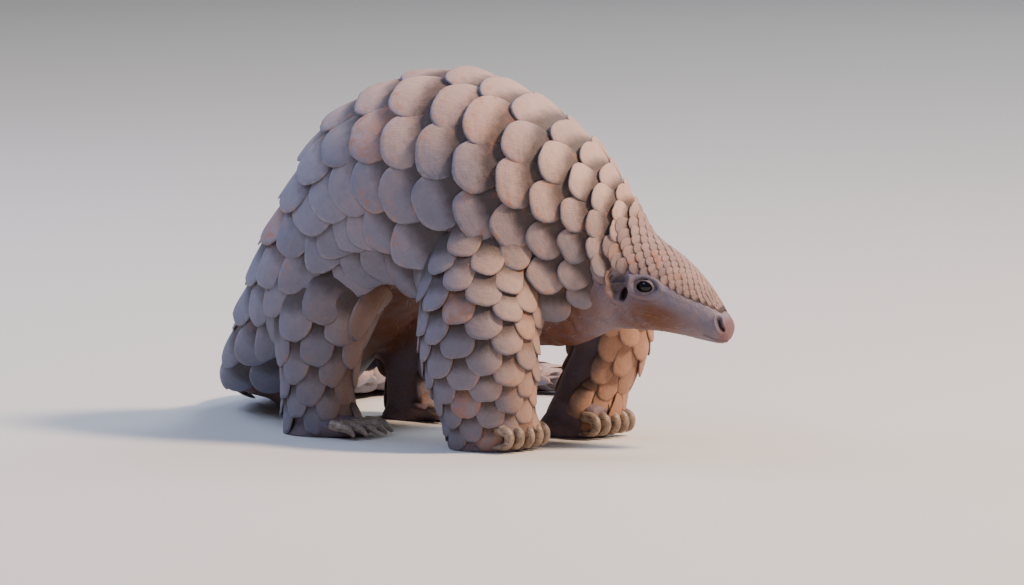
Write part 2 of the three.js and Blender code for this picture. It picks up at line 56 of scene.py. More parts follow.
# %% [markdown]
# ## The line of the body
# An animal's body is drawn as a line from the nose to the tip of the tail, with a width and a height at each
# place along it. The same stations made the solids, so the skin and the scales sit exactly on them. A smooth
# curve runs through the stations, and it takes a whole array of shares at once, which keeps it quick.

# %% Stations of the body and of the legs, in millimetres
BODY_STATIONS = {
    "noseTip": ((232, 39, 80), (5, 5, 5)),
    "nosePad": ((228, 38, 81), (10, 9, 10)),
    "muzzle": ((219, 35, 86), (14, 14, 14)),
    "cheek": ((204, 30, 95), (21, 22, 20)),
    "eyes": ((187, 24, 104), (27, 29, 27)),
    "ears": ((168, 18, 111), (31, 35, 33)),
    "nape": ((147, 11, 120), (40, 50, 58)),
    "neck": ((122, 5, 132), (54, 64, 74)),
    "shoulders": ((92, 1, 146), (70, 76, 84)),
    "chest": ((55, 0, 158), (80, 85, 84)),
    "back": ((15, 0, 167), (84, 86, 76)),
    "loin": ((-24, 0, 158), (83, 80, 70)),
    "hips": ((-60, 0, 130), (79, 61, 64)),
    "rump": ((-87, 2, 94), (76, 54, 50)),
    "tailRoot": ((-116, 6, 60), (64, 42, 36)),
    "tailFall": ((-144, 19, 35), (54, 31, 27)),
    "tailBend": ((-178, 50, 22), (49, 25, 23)),
    "tailCurve": ((-199, 100, 19), (44, 22, 20)),
    "tailMiddle": ((-204, 155, 17), (39, 20, 18)),
    "tailTurn": ((-172, 208, 15), (32, 17, 16)),
    "tailEnd": ((-116, 240, 12), (24, 13, 13)),
    "tailTip": ((-52, 252, 9), (8, 6, 6)),
}
LEG_STATIONS = {
    "foreleg_right": [((80, -30, 148), (34, 38)), ((87, -52, 110), (37, 44)), ((94, -60, 78), (38, 46)),
                      ((97, -60, 50), (36, 43)), ((98, -57, 26), (31, 36)), ((97, -54, 6), (28, 30)),
                      ((96, -53, -6), (24, 25))],
    "foreleg_left": [((92, 32, 134), (32, 36)), ((110, 56, 92), (31, 34)), ((110, 60, 62), (27, 30)),
                     ((102, 55, 42), (25, 28)), ((94, 50, 22), (24, 26)), ((90, 46, 6), (24, 26)),
                     ((89, 45, -6), (21, 22))],
    "hindleg_right": [((-46, -28, 126), (34, 46)), ((-50, -54, 86), (34, 46)), ((-49, -60, 56), (29, 34)),
                      ((-50, -61, 28), (26, 28)), ((-49, -60, 6), (25, 29)), ((-49, -60, -6), (22, 26))],
    "hindleg_left": [((-46, 28, 126), (34, 46)), ((-56, 54, 86), (34, 46)), ((-62, 60, 56), (29, 34)),
                     ((-66, 61, 28), (26, 28)), ((-64, 60, 6), (25, 29)), ((-64, 60, -6), (22, 26))],
}
print("the body has", len(BODY_STATIONS), "stations from nose to tail")

# %% A smooth line through points
def curve_through(points):
    """A smooth line through points. It gives the places at shares from 0 to 1 along it."""
    points = np.array(points, float)
    ends = np.vstack([2 * points[0] - points[1], points, 2 * points[-1] - points[-2]])
    gaps = np.sum(np.diff(ends, axis=0) ** 2, axis=1) ** 0.25  # the square root of each distance

    def at(share):
        place = np.clip(np.asarray(share, float), 0, 1) * (len(points) - 1)
        i = np.minimum(place.astype(int), len(points) - 2)
        t = (place - i)[..., None]
        p0, p1, p2, p3 = (ends[i + k] for k in range(4))
        g0, g1, g2 = (gaps[i + k][..., None] for k in range(3))
        g1 = np.where(g1 < 1e-4, 1, g1)
        g0 = np.where(g0 < 1e-4, g1, g0)
        g2 = np.where(g2 < 1e-4, g1, g2)
        out = ((p1 - p0) / g0 - (p2 - p0) / (g0 + g1) + (p2 - p1) / g1) * g1
        into = ((p2 - p1) / g1 - (p3 - p1) / (g1 + g2) + (p3 - p2) / g2) * g1
        square = 3 * (p2 - p1) - 2 * out - into
        cubic = 2 * (p1 - p2) + out + into
        return p1 + out * t + square * t ** 2 + cubic * t ** 3

    return at


def unit(vectors):
    """The same directions with a length of 1."""
    return vectors / np.linalg.norm(vectors, axis=-1, keepdims=True)


middle = curve_through([(0, 0, 0), (1, 1, 0), (4, 0, 0)])(0.5)
print("halfway along a line through three points lies the second:", np.round(middle, 2))

# %% Limbs
STATION_NAMES = list(BODY_STATIONS)
UP = np.array([0.0, 0.0, 1.0])
FORWARD = np.array([1.0, 0.0, 0.0])
NUDGE = 1e-4  # of a line's share, to either side of a place, to read the direction of the line there


def station(name):
    """The share of the body's line at which a station lies."""
    return STATION_NAMES.index(name) / (len(STATION_NAMES) - 1)


class Limb:
    """The surface of the body or of a leg, from its line, its sizes and the direction that sets its sides."""

    def __init__(self, places, sizes, towards):
        self.line = curve_through(places)
        self.size = curve_through(sizes)
        self.towards = towards

    def frame(self, share):
        share = np.asarray(share, float)
        along = unit(self.line(np.minimum(share + NUDGE, 1)) - self.line(np.maximum(share - NUDGE, 0)))
        left = unit(np.cross(along, self.towards))
        return self.line(share), along, left, np.cross(left, along)

    def point(self, share, angle, lift=0.0):
        """Places in millimetres. The angle goes round from the back or the front, and lift is outwards."""
        centre, _, left, up = self.frame(share)
        wide, above, below = np.moveaxis(self.size(share), -1, 0)
        high = np.where(np.cos(angle) > 0, above, below)
        across = ((wide + lift) * np.sin(angle))[..., None]
        return centre + left * across + up * ((high + lift) * np.cos(angle))[..., None]


body = Limb([s[0] for s in BODY_STATIONS.values()], [s[1] for s in BODY_STATIONS.values()], UP)
legs = {name: Limb([s[0] for s in rows], [(s[1][0], s[1][1], s[1][1]) for s in rows], FORWARD)
        for name, rows in LEG_STATIONS.items()}
print("the body's line is drawn through", len(BODY_STATIONS), "stations, with", len(legs), "legs")

# %% [markdown]
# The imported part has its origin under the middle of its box, and the stations don't. The right eye is a ball
# whose place is known in both, so the step from one to the other is read off it.

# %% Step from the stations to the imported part
EYE = {"share": station("eyes") + 0.014, "angle": 1.40, "radius": 5.4, "sunk": -3.1}  # radians and mm
eye_low, eye_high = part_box("eye_right")
eye_place = body.point(EYE["share"], -EYE["angle"], EYE["sunk"])
STEP = np.array((eye_low + eye_high) / 2) / MM - eye_place
print("step to the packed frame in mm", np.round(STEP, 2))


def in_frame(places):
    """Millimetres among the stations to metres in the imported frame."""
    return (np.asarray(places) + STEP) * MM


# %% [markdown]
# ## Camera
# The picture was taken from low down, well off to the animal's right and in front of it. A long lens far away
# keeps the perspective as flat as it is there. The numbers were found by laying the solids over the picture.

# %% Camera
AZIMUTH, ELEVATION = math.radians(40), math.radians(5)
CAMERA_DISTANCE = 4.0
CAMERA_AIM = (37.4, 42.3, 95.2)  # mm, among the stations
camera_data = bpy.data.cameras.new("camera")
camera_data.lens = 203.9
camera_data.sensor_width = 36
camera = bpy.data.objects.new("camera", camera_data)
bpy.context.scene.collection.objects.link(camera)
bpy.context.scene.camera = camera
back = Vector((math.sin(AZIMUTH) * math.cos(ELEVATION), -math.cos(AZIMUTH) * math.cos(ELEVATION),
               math.sin(ELEVATION)))
aim = Vector(in_frame(CAMERA_AIM))
camera.location = aim + back * CAMERA_DISTANCE
camera.rotation_euler = (-back).to_track_quat("-Z", "Y").to_euler()
print("camera at", [round(x, 3) for x in camera.location])

# %% [markdown]
# ## Helpers
# A finished piece is one object at the origin with its place in its mesh. Colours are given as the hex values
# that a colour picker shows, and turned to the linear values that the renderer works in.

# %% Colours and materials
def colour(hex_value):
    """An sRGB hex value as linear red, green, blue and alpha."""
    parts = [int(hex_value[i:i + 2], 16) / 255 for i in (1, 3, 5)]
    return (*(c / 12.92 if c <= 0.04045 else ((c + 0.055) / 1.055) ** 2.4 for c in parts), 1.0)


def new_material(name, **sockets):
    """A material with values for the sockets of its shader, an underscore standing for a space."""
    material = bpy.data.materials.new(name)
    material.use_nodes = True
    shader = material.node_tree.nodes["Principled BSDF"]
    for socket, value in sockets.items():
        shader.inputs[socket.replace("_", " ")].default_value = value
    return material


print("middle grey #808080 is", round(colour("#808080")[0], 3), "in linear values")

# %% Pieces and meshes
def make_object(name, mesh, material, body_name="root"):
    """Links a mesh as a piece of the animal, smooth shaded, with its material."""
    mesh.name = name
    made = bpy.data.objects.new(name, mesh)
    bpy.context.scene.collection.objects.link(made)
    mesh.materials.clear()
    mesh.materials.append(material)
    mesh.polygons.foreach_set("use_smooth", np.ones(len(mesh.polygons), bool))
    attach(made, body_name)
    return made


def mesh_of(bm, name):
    """A mesh from a bmesh, which is freed."""
    mesh = bpy.data.meshes.new(name)
    bm.to_mesh(mesh)
    bm.free()
    return mesh


def places_of(mesh):
    """The places of a mesh's vertices, one row for each."""
    co = np.empty(len(mesh.vertices) * 3)
    mesh.vertices.foreach_get("co", co)
    return co.reshape(-1, 3)


def set_places(mesh, co):
    """Moves a mesh's vertices to the places given."""
    mesh.vertices.foreach_set("co", np.ascontiguousarray(co, float).ravel())
    mesh.update()


def triangles_in(mesh):
    """How many triangles a mesh comes to."""
    return sum(len(polygon.vertices) - 2 for polygon in mesh.polygons)

# %% Modifiers
def with_modifier(mesh, kind, **settings):
    """The mesh after one modifier, applied."""
    holder = bpy.data.objects.new("holder", mesh)
    bpy.context.scene.collection.objects.link(holder)
    modifier = holder.modifiers.new(kind.lower(), kind)
    for key, value in settings.items():
        setattr(modifier, key, value)
    bpy.context.view_layer.update()
    evaluated = holder.evaluated_get(bpy.context.evaluated_depsgraph_get())
    made = bpy.data.meshes.new_from_object(evaluated)
    bpy.data.objects.remove(holder)
    return made


# %% [markdown]
# ## Floor and light
# The studio has a plain pale floor, painted matt, so the animal's shadow is soft and nothing mirrors in it.
# The light stands in for a low sun and a blue sky: a warm key from ahead and the left, a small cool lamp on
# the camera's side, a wide bluish one from behind, and a large pale one over the far side of the floor.

# %% Floor
FLOOR_RADIUS = 14
floor_mesh = bmesh.new()
bmesh.ops.create_circle(floor_mesh, cap_ends=True, segments=96, radius=FLOOR_RADIUS)
floor = bpy.data.objects.new("floor", mesh_of(floor_mesh, "floor"))
bpy.context.scene.collection.objects.link(floor)
floor_paint = new_material("matt studio paint", Base_Color=colour("#D8D3CB"), Roughness=0.9)
floor.data.materials.append(floor_paint)
print("floor of", 2 * FLOOR_RADIUS, "m")

# %% Lights
LIGHTS = {  # places and sizes in metres, energies in watts
    "key": {"at": (2.5, 1.1, 2.9), "size": 0.7, "energy": 275, "colour": "#FFE0C6"},
    "sky": {"at": (-0.2, -2.8, 3.0), "size": 1.4, "energy": 44, "colour": "#BACDF6"},
    "blue": {"at": (-2.6, -0.4, 2.3), "size": 2.5, "energy": 88, "colour": "#B4C8F5"},
    "back": {"at": (0.0, 7.0, 6.5), "size": 6.0, "energy": 560, "colour": "#E3EAF8"},
}
for name, light in LIGHTS.items():
    lamp = bpy.data.lights.new(name, "AREA")
    lamp.shape = "DISK"
    lamp.size = light["size"]
    lamp.energy = light["energy"]
    lamp.color = colour(light["colour"])[:3]
    lamp_object = bpy.data.objects.new(name, lamp)
    lamp_object.location = light["at"]
    towards = Vector((0, 0, 0.1)) - lamp_object.location
    lamp_object.rotation_euler = towards.to_track_quat("-Z", "Y").to_euler()
    bpy.context.scene.collection.objects.link(lamp_object)
world = bpy.data.worlds.new("studio")
world.use_nodes = True
world.node_tree.nodes["Background"].inputs["Color"].default_value = colour("#D3D9E6")
world.node_tree.nodes["Background"].inputs["Strength"].default_value = 0.25
bpy.context.scene.world = world
print("lamps:", ", ".join(LIGHTS))

# %% [markdown]
# ## How deep the coat is
# The stations give the outside of the animal, which is the tips of its scales. How deep the coat is at each
# place says how the scales lie there, and how far the skin is under them. A coat changes slowly from nose to
# tail, so a few measures at each station and a curve through them are enough.

# %% The coat's measures along the body
# Step is the distance between two scales of a row in mm, rise how far their tips stand out, reach how far
# round from the spine the coat goes, and turn how far down a scale on the side points, both in degrees.
COAT_STATIONS = {
    "noseTip": (4.2, 0.5, 12, 0), "nosePad": (4.6, 0.6, 18, 0), "muzzle": (4.8, 0.8, 36, 0),
    "cheek": (5.8, 1.1, 60, 4), "eyes": (6.8, 1.4, 63, 10), "ears": (8.6, 2.2, 68, 30),
    "nape": (12, 3.6, 112, 60), "neck": (17.5, 4.7, 124, 70), "shoulders": (22, 5.7, 126, 58),
    "chest": (27, 6.6, 130, 48), "back": (29, 7.2, 131, 40), "loin": (30, 7.6, 132, 28),
    "hips": (31, 7.6, 135, 16), "rump": (32, 7.6, 142, 8), "tailRoot": (33, 7.2, 154, 0),
    "tailFall": (34, 6.8, 162, 0), "tailBend": (34, 6.4, 166, 0), "tailCurve": (33, 6.0, 166, 0),
    "tailMiddle": (30, 5.4, 166, 0), "tailTurn": (26, 4.6, 166, 0), "tailEnd": (21, 3.6, 166, 0),
    "tailTip": (15, 2.2, 166, 0),
}
coat = curve_through(list(COAT_STATIONS.values()))
COAT_FADE = 0.16  # radians over which the coat ends, round the body
COAT_ROOM = 0.6  # mm under the scales, over what their tips rise
LEG_RISE, LEG_ROOM = 5.0, 0.4
LEG_COAT_END = 0.88


def smooth(x):
    """A soft step: 0 up to 0, 1 from 1, and level at both ends."""
    x = np.clip(x, 0, 1)
    return x * x * (3 - 2 * x)


def coat_depth(share, angle):
    """How far the skin lies below the tips of the scales, in mm: nothing where it is bare."""
    _, rise, reach, _ = np.moveaxis(coat(share), -1, 0)
    return (rise + COAT_ROOM) * smooth((np.radians(reach) + COAT_FADE - np.abs(angle)) / COAT_FADE)


def leg_depth(share):
    """The same on a leg, ending above the toes."""
    return (LEG_RISE + LEG_ROOM) * smooth((LEG_COAT_END - share) * 9)


print("the coat is", round(float(coat_depth(station("back"), 0.0)), 1), "mm deep on the back")

# %% [markdown]
# ## One skin over the flesh
# The real animal has one hide from the lips to the toes. The solids could be joined into one, but their gaps
# and their coarse scales would show in it. So balls are drawn out along the body and each leg, feet and ear
# rims are added, and a voxel remesh melts them into one closed surface. The folds where a leg leaves the
# trunk are then smoothed, as loose skin is.

# %% Balls drawn out along the lines
def drawn_out(bm, surface, around, rings):
    """Adds a ball and draws it out into a closed tube. Surface gives places in mm from shares and angles."""
    made = bmesh.ops.create_uvsphere(bm, u_segments=around, v_segments=rings, radius=1)["verts"]
    co = np.array([v.co for v in made])
    share = np.arccos(np.clip(co[:, 2], -1, 1)) / math.pi
    angle = np.arctan2(co[:, 0], co[:, 1])
    at_pole = np.hypot(co[:, 0], co[:, 1]) < 1e-4
    places = surface(share, angle)
    if at_pole.any():
        places[at_pole] = surface(share[at_pole], angle[at_pole], centre=True)
    for vertex, place in zip(made, in_frame(places)):
        vertex.co = place
    return made


def limb_surface(limb):
    """The surface of the body or a leg, for drawing a ball out."""
    def surface(share, angle, centre=False):
        return limb.line(share) if centre else limb.point(share, angle)
    return surface


def rod_surface(points, radii, sideways):
    """A round rod along a curved line, with a half width and half height at each of its points."""
    line = curve_through(points)
    size = curve_through([(wide, high, 0) for wide, high in radii])

    def surface(share, angle, centre=False):
        along = unit(line(np.minimum(share + NUDGE, 1)) - line(np.maximum(share - NUDGE, 0)))
        side = unit(sideways - along * np.sum(along * sideways, -1, keepdims=True))
        up = np.cross(side, along)
        wide, high, _ = np.moveaxis(size(share), -1, 0)
        if centre:
            return line(share)
        return line(share) + side * (wide * np.sin(angle))[..., None] + up * (high * np.cos(angle))[..., None]
    return surface


# %% [markdown]
# A pangolin walks on its soles behind, and on the outer edges of its forefeet with the long claws turned
# back. A foot is a flat rod from the heel to the root of the toes, and each toe a short rod over the root of
# its claw.

# %% Feet and toes
SOLES = {name: np.array([*rows[-2][0][:2], 0.0]) for name, rows in LEG_STATIONS.items()}
# How far ahead of the ankle, how high, and half the width and half the height there, in mm.
FOREFOOT = [(-6, 20, 20, 18), (10, 22, 24, 17), (24, 20, 24, 14), (34, 17, 21, 11), (38, 15, 13, 6)]
HINDFOOT = [(-18, 12, 18, 14), (0, 12, 23, 15), (20, 10, 26, 12), (33, 8, 25, 9), (40, 7, 16, 5)]


def foot_surface(leg):
    """The surface of a foot, for drawing a ball out."""
    rows = FOREFOOT if leg.startswith("fore") else HINDFOOT
    line = curve_through([(ahead, 0, high) for ahead, high, _, _ in rows])
    size = curve_through([(wide, thick, 0) for _, _, wide, thick in rows])

    def surface(share, angle, centre=False):
        wide, thick, _ = np.moveaxis(size(share), -1, 0)
        out = 0 if centre else 1
        sideways = np.stack([np.zeros_like(wide), -wide * np.sin(angle), thick * np.cos(angle)], -1)
        return SOLES[leg] + line(share) + out * sideways
    return surface


print("a forefoot is", max(wide for _, _, wide, _ in FOREFOOT) * 2, "mm wide, without its claws")

# %% Toes
LEFTWARD = np.array([0.0, 1.0, 0.0])
# How far across the foot each claw lies, in mm, and how long it is beside the longest.
FORECLAWS = [(-18.6, 0.5), (-9.7, 0.9), (0.4, 1), (10.2, 0.85), (19.1, 0.45)]
HINDCLAWS = [(-17.7, 0.75), (-8.8, 0.94), (0.3, 1), (9.1, 0.92), (17.9, 0.72)]


def toe(leg, across, long):
    """A short thick toe, from under the instep to over the root of its claw."""
    if leg.startswith("fore"):
        points = [(12, across * 0.7, 13), (22, across * 0.9, 15.5),
                  (30 - 4 * (1 - long), across, 15), (35, across, 11)]
        radii = [(5.2, 6), (5.0, 5.4), (4.7, 4.6), (3.2, 3.4)]
    else:
        points = [(12, across * 0.8, 9), (24, across * 0.95, 10),
                  (33, across * 1.03, 9.4), (38, across * 1.06, 8)]
        radii = [(5.0, 5), (4.9, 4.9), (4.5, 4.4), (3.2, 3.2)]
    return rod_surface(SOLES[leg] + np.array(points, float), radii, LEFTWARD)


flesh = bmesh.new()
drawn_out(flesh, limb_surface(body), around=72, rings=260)
for name, leg in legs.items():
    drawn_out(flesh, limb_surface(leg), around=48, rings=60)
    drawn_out(flesh, foot_surface(name), around=40, rings=26)
    for across, long in FORECLAWS if name.startswith("fore") else HINDCLAWS:
        drawn_out(flesh, toe(name, across, long), around=14, rings=16)
print("flesh from", len(flesh.verts), "vertices")

# %% [markdown]
# The rim of the ear is a fleshy crescent behind the opening. It is a ring drawn along a short curve, so it
# is one more drawn-out ball.

# %% Rims of the ears
# The share and the angle on the head, and the lift in mm, of places along the rim, and half its thickness.
EAR_RIM = [(0.2500, 1.22, 0.8), (0.2570, 1.32, 1.8), (0.2610, 1.46, 2.4), (0.2585, 1.62, 2.3),
           (0.2530, 1.74, 1.6), (0.2430, 1.86, 1.2), (0.2320, 1.96, 0.9), (0.2230, 2.00, 0.2)]
EAR_THICK = [1.1, 1.7, 2.0, 2.0, 1.8, 1.5, 1.2, 0.8]


def ear_rim(side):
    """The rod of one ear's rim. Side is -1 for the right and 1 for the left."""
    points = [body.point(share, side * angle, lift) for share, angle, lift in EAR_RIM]
    return rod_surface(points, [(t, t * 0.8) for t in EAR_THICK], FORWARD)


for side in (-1, 1):
    drawn_out(flesh, ear_rim(side), around=16, rings=24)
print("flesh and ears from", len(flesh.verts), "vertices")

# %% [markdown]
# The drawn-out balls still pass through each other. A voxel remesh keeps only their common outside, as one
# closed surface of even squares, which is what sculpting needs.

# %% Melt them into one skin
SKIN_VOXEL = 0.0015  # m
skin_mesh = mesh_of(flesh, "flesh")
skin_mesh = with_modifier(skin_mesh, "REMESH", mode="VOXEL", voxel_size=SKIN_VOXEL)
print("skin after remesh:", len(skin_mesh.vertices), "vertices")

# %% [markdown]
# Where a leg leaves the trunk the melted surface has a sharp crease. The vertices near both surfaces are
# found with two search trees, and only they are smoothed. This is the outer surface, on which the scales lie.

# %% Which limb each vertex belongs to
from mathutils.bvhtree import BVHTree
from mathutils.kdtree import KDTree


def samples(limb, count, around):
    """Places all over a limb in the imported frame, with the share and the angle of each."""
    shares, angles = np.linspace(0, 1, count), np.linspace(-math.pi, math.pi, around, endpoint=False)
    share, angle = np.meshgrid(shares, angles)
    share, angle = share.ravel(), angle.ravel()
    return in_frame(limb.point(share, angle)), share, angle


def tree_of(places):
    """A search tree of places."""
    tree = KDTree(len(places))
    for i, place in enumerate(places):
        tree.insert(place, i)
    tree.balance()
    return tree


body_samples, body_shares, body_angles = samples(body, 420, 72)
leg_samples, leg_shares = [], []
for leg in legs.values():
    places, share, _ = samples(leg, 60, 36)
    leg_samples.append(places)
    leg_shares.append(share)
leg_samples, leg_shares = np.vstack(leg_samples), np.concatenate(leg_shares)
body_tree, leg_tree = tree_of(body_samples), tree_of(leg_samples)

FOLD_REACH = 0.016  # m
skin_places = places_of(skin_mesh)
body_near = np.array([body_tree.find(place)[1:] for place in skin_places])
leg_near = np.array([leg_tree.find(place)[1:] for place in skin_places])
body_near, body_far = body_near[:, 0].astype(int), body_near[:, 1]
leg_near, leg_far = leg_near[:, 0].astype(int), leg_near[:, 1]
fold = smooth(2 - np.maximum(body_far, leg_far) / FOLD_REACH)
print(int((fold > 0.1).sum()), "vertices lie in the folds")

# %% Smooth the folds
FOLD_ROUNDS, SKIN_ROUNDS = 60, 4


def spread_out(mesh, values, rounds, weight=0.5):
    """Draws each vertex's values towards the mean of its neighbours', as far as its weight says."""
    edges = np.empty(len(mesh.edges) * 2, int)
    mesh.edges.foreach_get("vertices", edges)
    a, b = edges.reshape(-1, 2).T
    values = np.array(values, float).reshape(len(mesh.vertices), -1)
    count = np.bincount(np.concatenate([a, b]), minlength=len(values))[:, None]
    weight = np.broadcast_to(weight, len(values))[:, None]
    for _ in range(rounds):
        total = np.stack([np.bincount(a, v[b], len(v)) + np.bincount(b, v[a], len(v)) for v in values.T], 1)
        values += weight * (total / count - values)
    return values.squeeze()


def smooth_places(mesh, weight, rounds):
    """Smooths a mesh and gives the new places of its vertices."""
    co = spread_out(mesh, places_of(mesh), rounds, weight)
    set_places(mesh, co)
    return co


def search_tree(mesh):
    """A search tree of a mesh's faces."""
    return BVHTree.FromPolygons([v.co for v in mesh.vertices], [list(p.vertices) for p in mesh.polygons])


smooth_places(skin_mesh, 0.9 * fold, FOLD_ROUNDS)
skin_places = smooth_places(skin_mesh, 0.5, SKIN_ROUNDS)
fewer = with_modifier(skin_mesh.copy(), "DECIMATE", decimate_type="UNSUBDIV", iterations=2)
outer = search_tree(fewer)
print("outer surface of", len(fewer.polygons), "faces")

# %% [markdown]
# The tips of the scales lie on the surface made so far, and their roots lie deeper. So the skin under them is
# drawn in by the depth of the coat, and stays where it is on the face, the belly and the toes.

# %% Lower the skin under the coat
normals = np.empty(len(skin_places) * 3)
skin_mesh.vertices.foreach_get("normal", normals)
normals = normals.reshape(-1, 3)
on_body = body_far < leg_far
depth = np.where(on_body, coat_depth(body_shares[body_near], body_angles[body_near]),
                 leg_depth(leg_shares[leg_near]))
depth = spread_out(skin_mesh, depth, rounds=24)
skin_places = skin_places - normals * (depth * MM)[:, None]
set_places(skin_mesh, skin_places)
print("skin lowered by up to", round(depth.max(), 1), "mm")

# %% [markdown]
# Most of the skin is hidden, so it can be coarse there. A Decimate modifier with a vertex group thins it
# outside the head, and the head's faces are divided again, most finely round the eyes, ears, nose and lips.

# %% Thin the skin outside the head
BODY_KEPT = 0.24  # of the faces
thinned = np.clip((body_shares[body_near] - station("nape") + 0.01) / 0.03, 0, 1) * on_body + ~on_body
holder = bpy.data.objects.new("holder", skin_mesh)
group = holder.vertex_groups.new(name="thinned")
for index in np.flatnonzero(thinned > 0.02):
    group.add([int(index)], float(thinned[index]), "REPLACE")
bpy.context.scene.collection.objects.link(holder)
modifier = holder.modifiers.new("thin", "DECIMATE")
modifier.ratio, modifier.vertex_group = BODY_KEPT, group.name
bpy.context.view_layer.update()
skin_mesh = bpy.data.meshes.new_from_object(holder.evaluated_get(bpy.context.evaluated_depsgraph_get()))
bpy.data.objects.remove(holder)
print("skin thinned to", triangles_in(skin_mesh), "triangles")

# %% Divide the skin of the head
SKIN_DEPTH = 0.012  # m from the body's surface within which skin counts as the body's
# The share, the angle and the reach in mm of the eye, the ear, the nostril and two places of the mouth.
FEATURES = [(EYE["share"], EYE["angle"], 10), (0.245, 1.58, 13), (0.055, 1.15, 6), (0.03, 2.6, 9),
            (0.075, 2.3, 6)]


def from_frame(places):
    """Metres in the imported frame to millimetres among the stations."""
    return places / MM - STEP


def near_body(mesh):
    """For each vertex the nearest sample of the body, and how far it is."""
    found = np.array([body_tree.find(place)[1:] for place in places_of(mesh)])
    return found[:, 0].astype(int), found[:, 1]


def refine(mesh, wanted):
    """Divides each edge between two wanted vertices in two."""
    bm = bmesh.new()
    bm.from_mesh(mesh)
    bm.verts.ensure_lookup_table()
    edges = [e for e in bm.edges if wanted[e.verts[0].index] and wanted[e.verts[1].index]]
    bmesh.ops.subdivide_edges(bm, edges=edges, cuts=1, use_grid_fill=True)
    bmesh.ops.triangulate(bm, faces=[f for f in bm.faces if len(f.verts) > 4])
    return mesh_of(bm, mesh.name)


def around_features(places):
    """Which places lie near an eye, an ear, the nose or the lips."""
    near = np.zeros(len(places), bool)
    for share, angle, reach in FEATURES:
        for side in (-1, 1):
            near |= np.linalg.norm(places - body.point(share, side * angle), axis=1) < reach
    return near


near, far = near_body(skin_mesh)
skin_mesh = refine(skin_mesh, (body_shares[near] < station("nape") - 0.015) & (far < SKIN_DEPTH))
skin_mesh = refine(skin_mesh, around_features(from_frame(places_of(skin_mesh))))
near, far = near_body(skin_mesh)
head_share, head_angle = body_shares[near], body_angles[near]
on_head = smooth((station("nape") + 0.03 - head_share) / 0.03) * (far < SKIN_DEPTH)
smooth_places(skin_mesh, 0.6 * on_head, rounds=3)
print("skin:", triangles_in(skin_mesh), "triangles")

# %% [markdown]
# ## The face
# It is sculpted as on clay. A brush can't be put in a script, but a distance can: each feature moves the skin
# in or out by an amount that depends on the distance from its middle, and notes how dark the skin is there.
# Humps are soft bumps or grooves of a given width.

# %% Tools for the face
face = from_frame(places_of(skin_mesh))
moved = face.copy()
dark, tan = np.zeros(len(face)), np.zeros(len(face))
outwards = unit(face - body.line(head_share))
FEATURE_REACH, FEATURE_DEPTH = 16, 9  # mm from the middle of an eye or an ear


def hump(x, width):
    """1 where x is 0, fading to nothing over about twice the width."""
    return np.exp(-(x / width) ** 2)


def seen_from(share, angle):
    """Places on the face in mm from a spot on it: towards the nose, towards the crown, and outwards."""
    spot = body.point(share, angle)
    out = unit(body.point(share, angle, 1.0) - spot)
    ahead = body.line(max(share - 0.01, 0.0)) - body.line(share + 0.01)
    ahead = unit(ahead - out * (ahead @ out))
    crown = np.cross(out, ahead) * (-1 if angle > 0 else 1)
    away = face - spot
    return away @ ahead, away @ crown, away @ out, out


def line_distance(points, side):
    """Distance in mm from a line through spots of the head, given by share and angle."""
    spots = [body.point(share, side * angle) for share, angle in points]
    line = curve_through(spots)(np.linspace(0, 1, 40))
    return np.min([np.linalg.norm(face - place, axis=1) for place in line], axis=0)


print(len(face), "vertices to sculpt")

# %% [markdown]
# The lids lie on the eyeball, round an opening with a corner towards the nose. A heavy fold hangs over them
# and a pouch lies below, and the skin is painted dark along the opening and in the fold, as the shade there.

# %% Eyes
LID_BALL = 6.1  # mm, the radius of the ball that the lids lie on
OPENING = (5.0, 3.3)  # half the length and half the height of the opening
SOCKET = 6.5  # how far the skin sinks behind it
for side in (-1, 1):
    ahead, crown, out, outward = seen_from(EYE["share"], side * EYE["angle"])
    crown = crown + 0.5 - 0.10 * ahead
    off = np.hypot(ahead, crown)
    q = np.hypot(ahead / OPENING[0], crown / (OPENING[1] + 0.2 * smooth(0.5 - ahead / 10)))
    ball = np.sqrt(np.clip(LID_BALL ** 2 - off ** 2, 0, None)) + EYE["sunk"]
    ball = np.where(off < LID_BALL, ball, -FEATURE_DEPTH)
    above = smooth(crown / 3 + 0.5)
    hood = 1.5 * hump(q - 2.15, 0.45) - 1.1 * hump(q - 1.55, 0.14)
    pouch = 0.8 * hump(q - 2.0, 0.4) - 0.5 * hump(q - 1.45, 0.12) - 0.5 * hump(q - 2.7, 0.18)
    folds = 0.25 * hump(q - 1.12, 0.12) + above * hood + (1 - above) * pouch
    inside = smooth((1.06 - q) / 0.14)
    target = (np.maximum(out, ball) + folds) * (1 - inside) - SOCKET * inside
    near = (off < FEATURE_REACH) & (np.abs(out) < FEATURE_DEPTH)
    moved[near] += ((target - out)[:, None] * outward)[near]
    # Painted shade along the opening and in the fold over it.
    shadow = hump(np.maximum(q - 1.0, 0), 0.11) + 0.4 * hump(q - 1.25, 0.2)
    dark = np.maximum(dark, near * (shadow + 0.35 * above * hump(q - 1.55, 0.14)))
print(int((dark > 0.5).sum()), "dark vertices round the eyes")
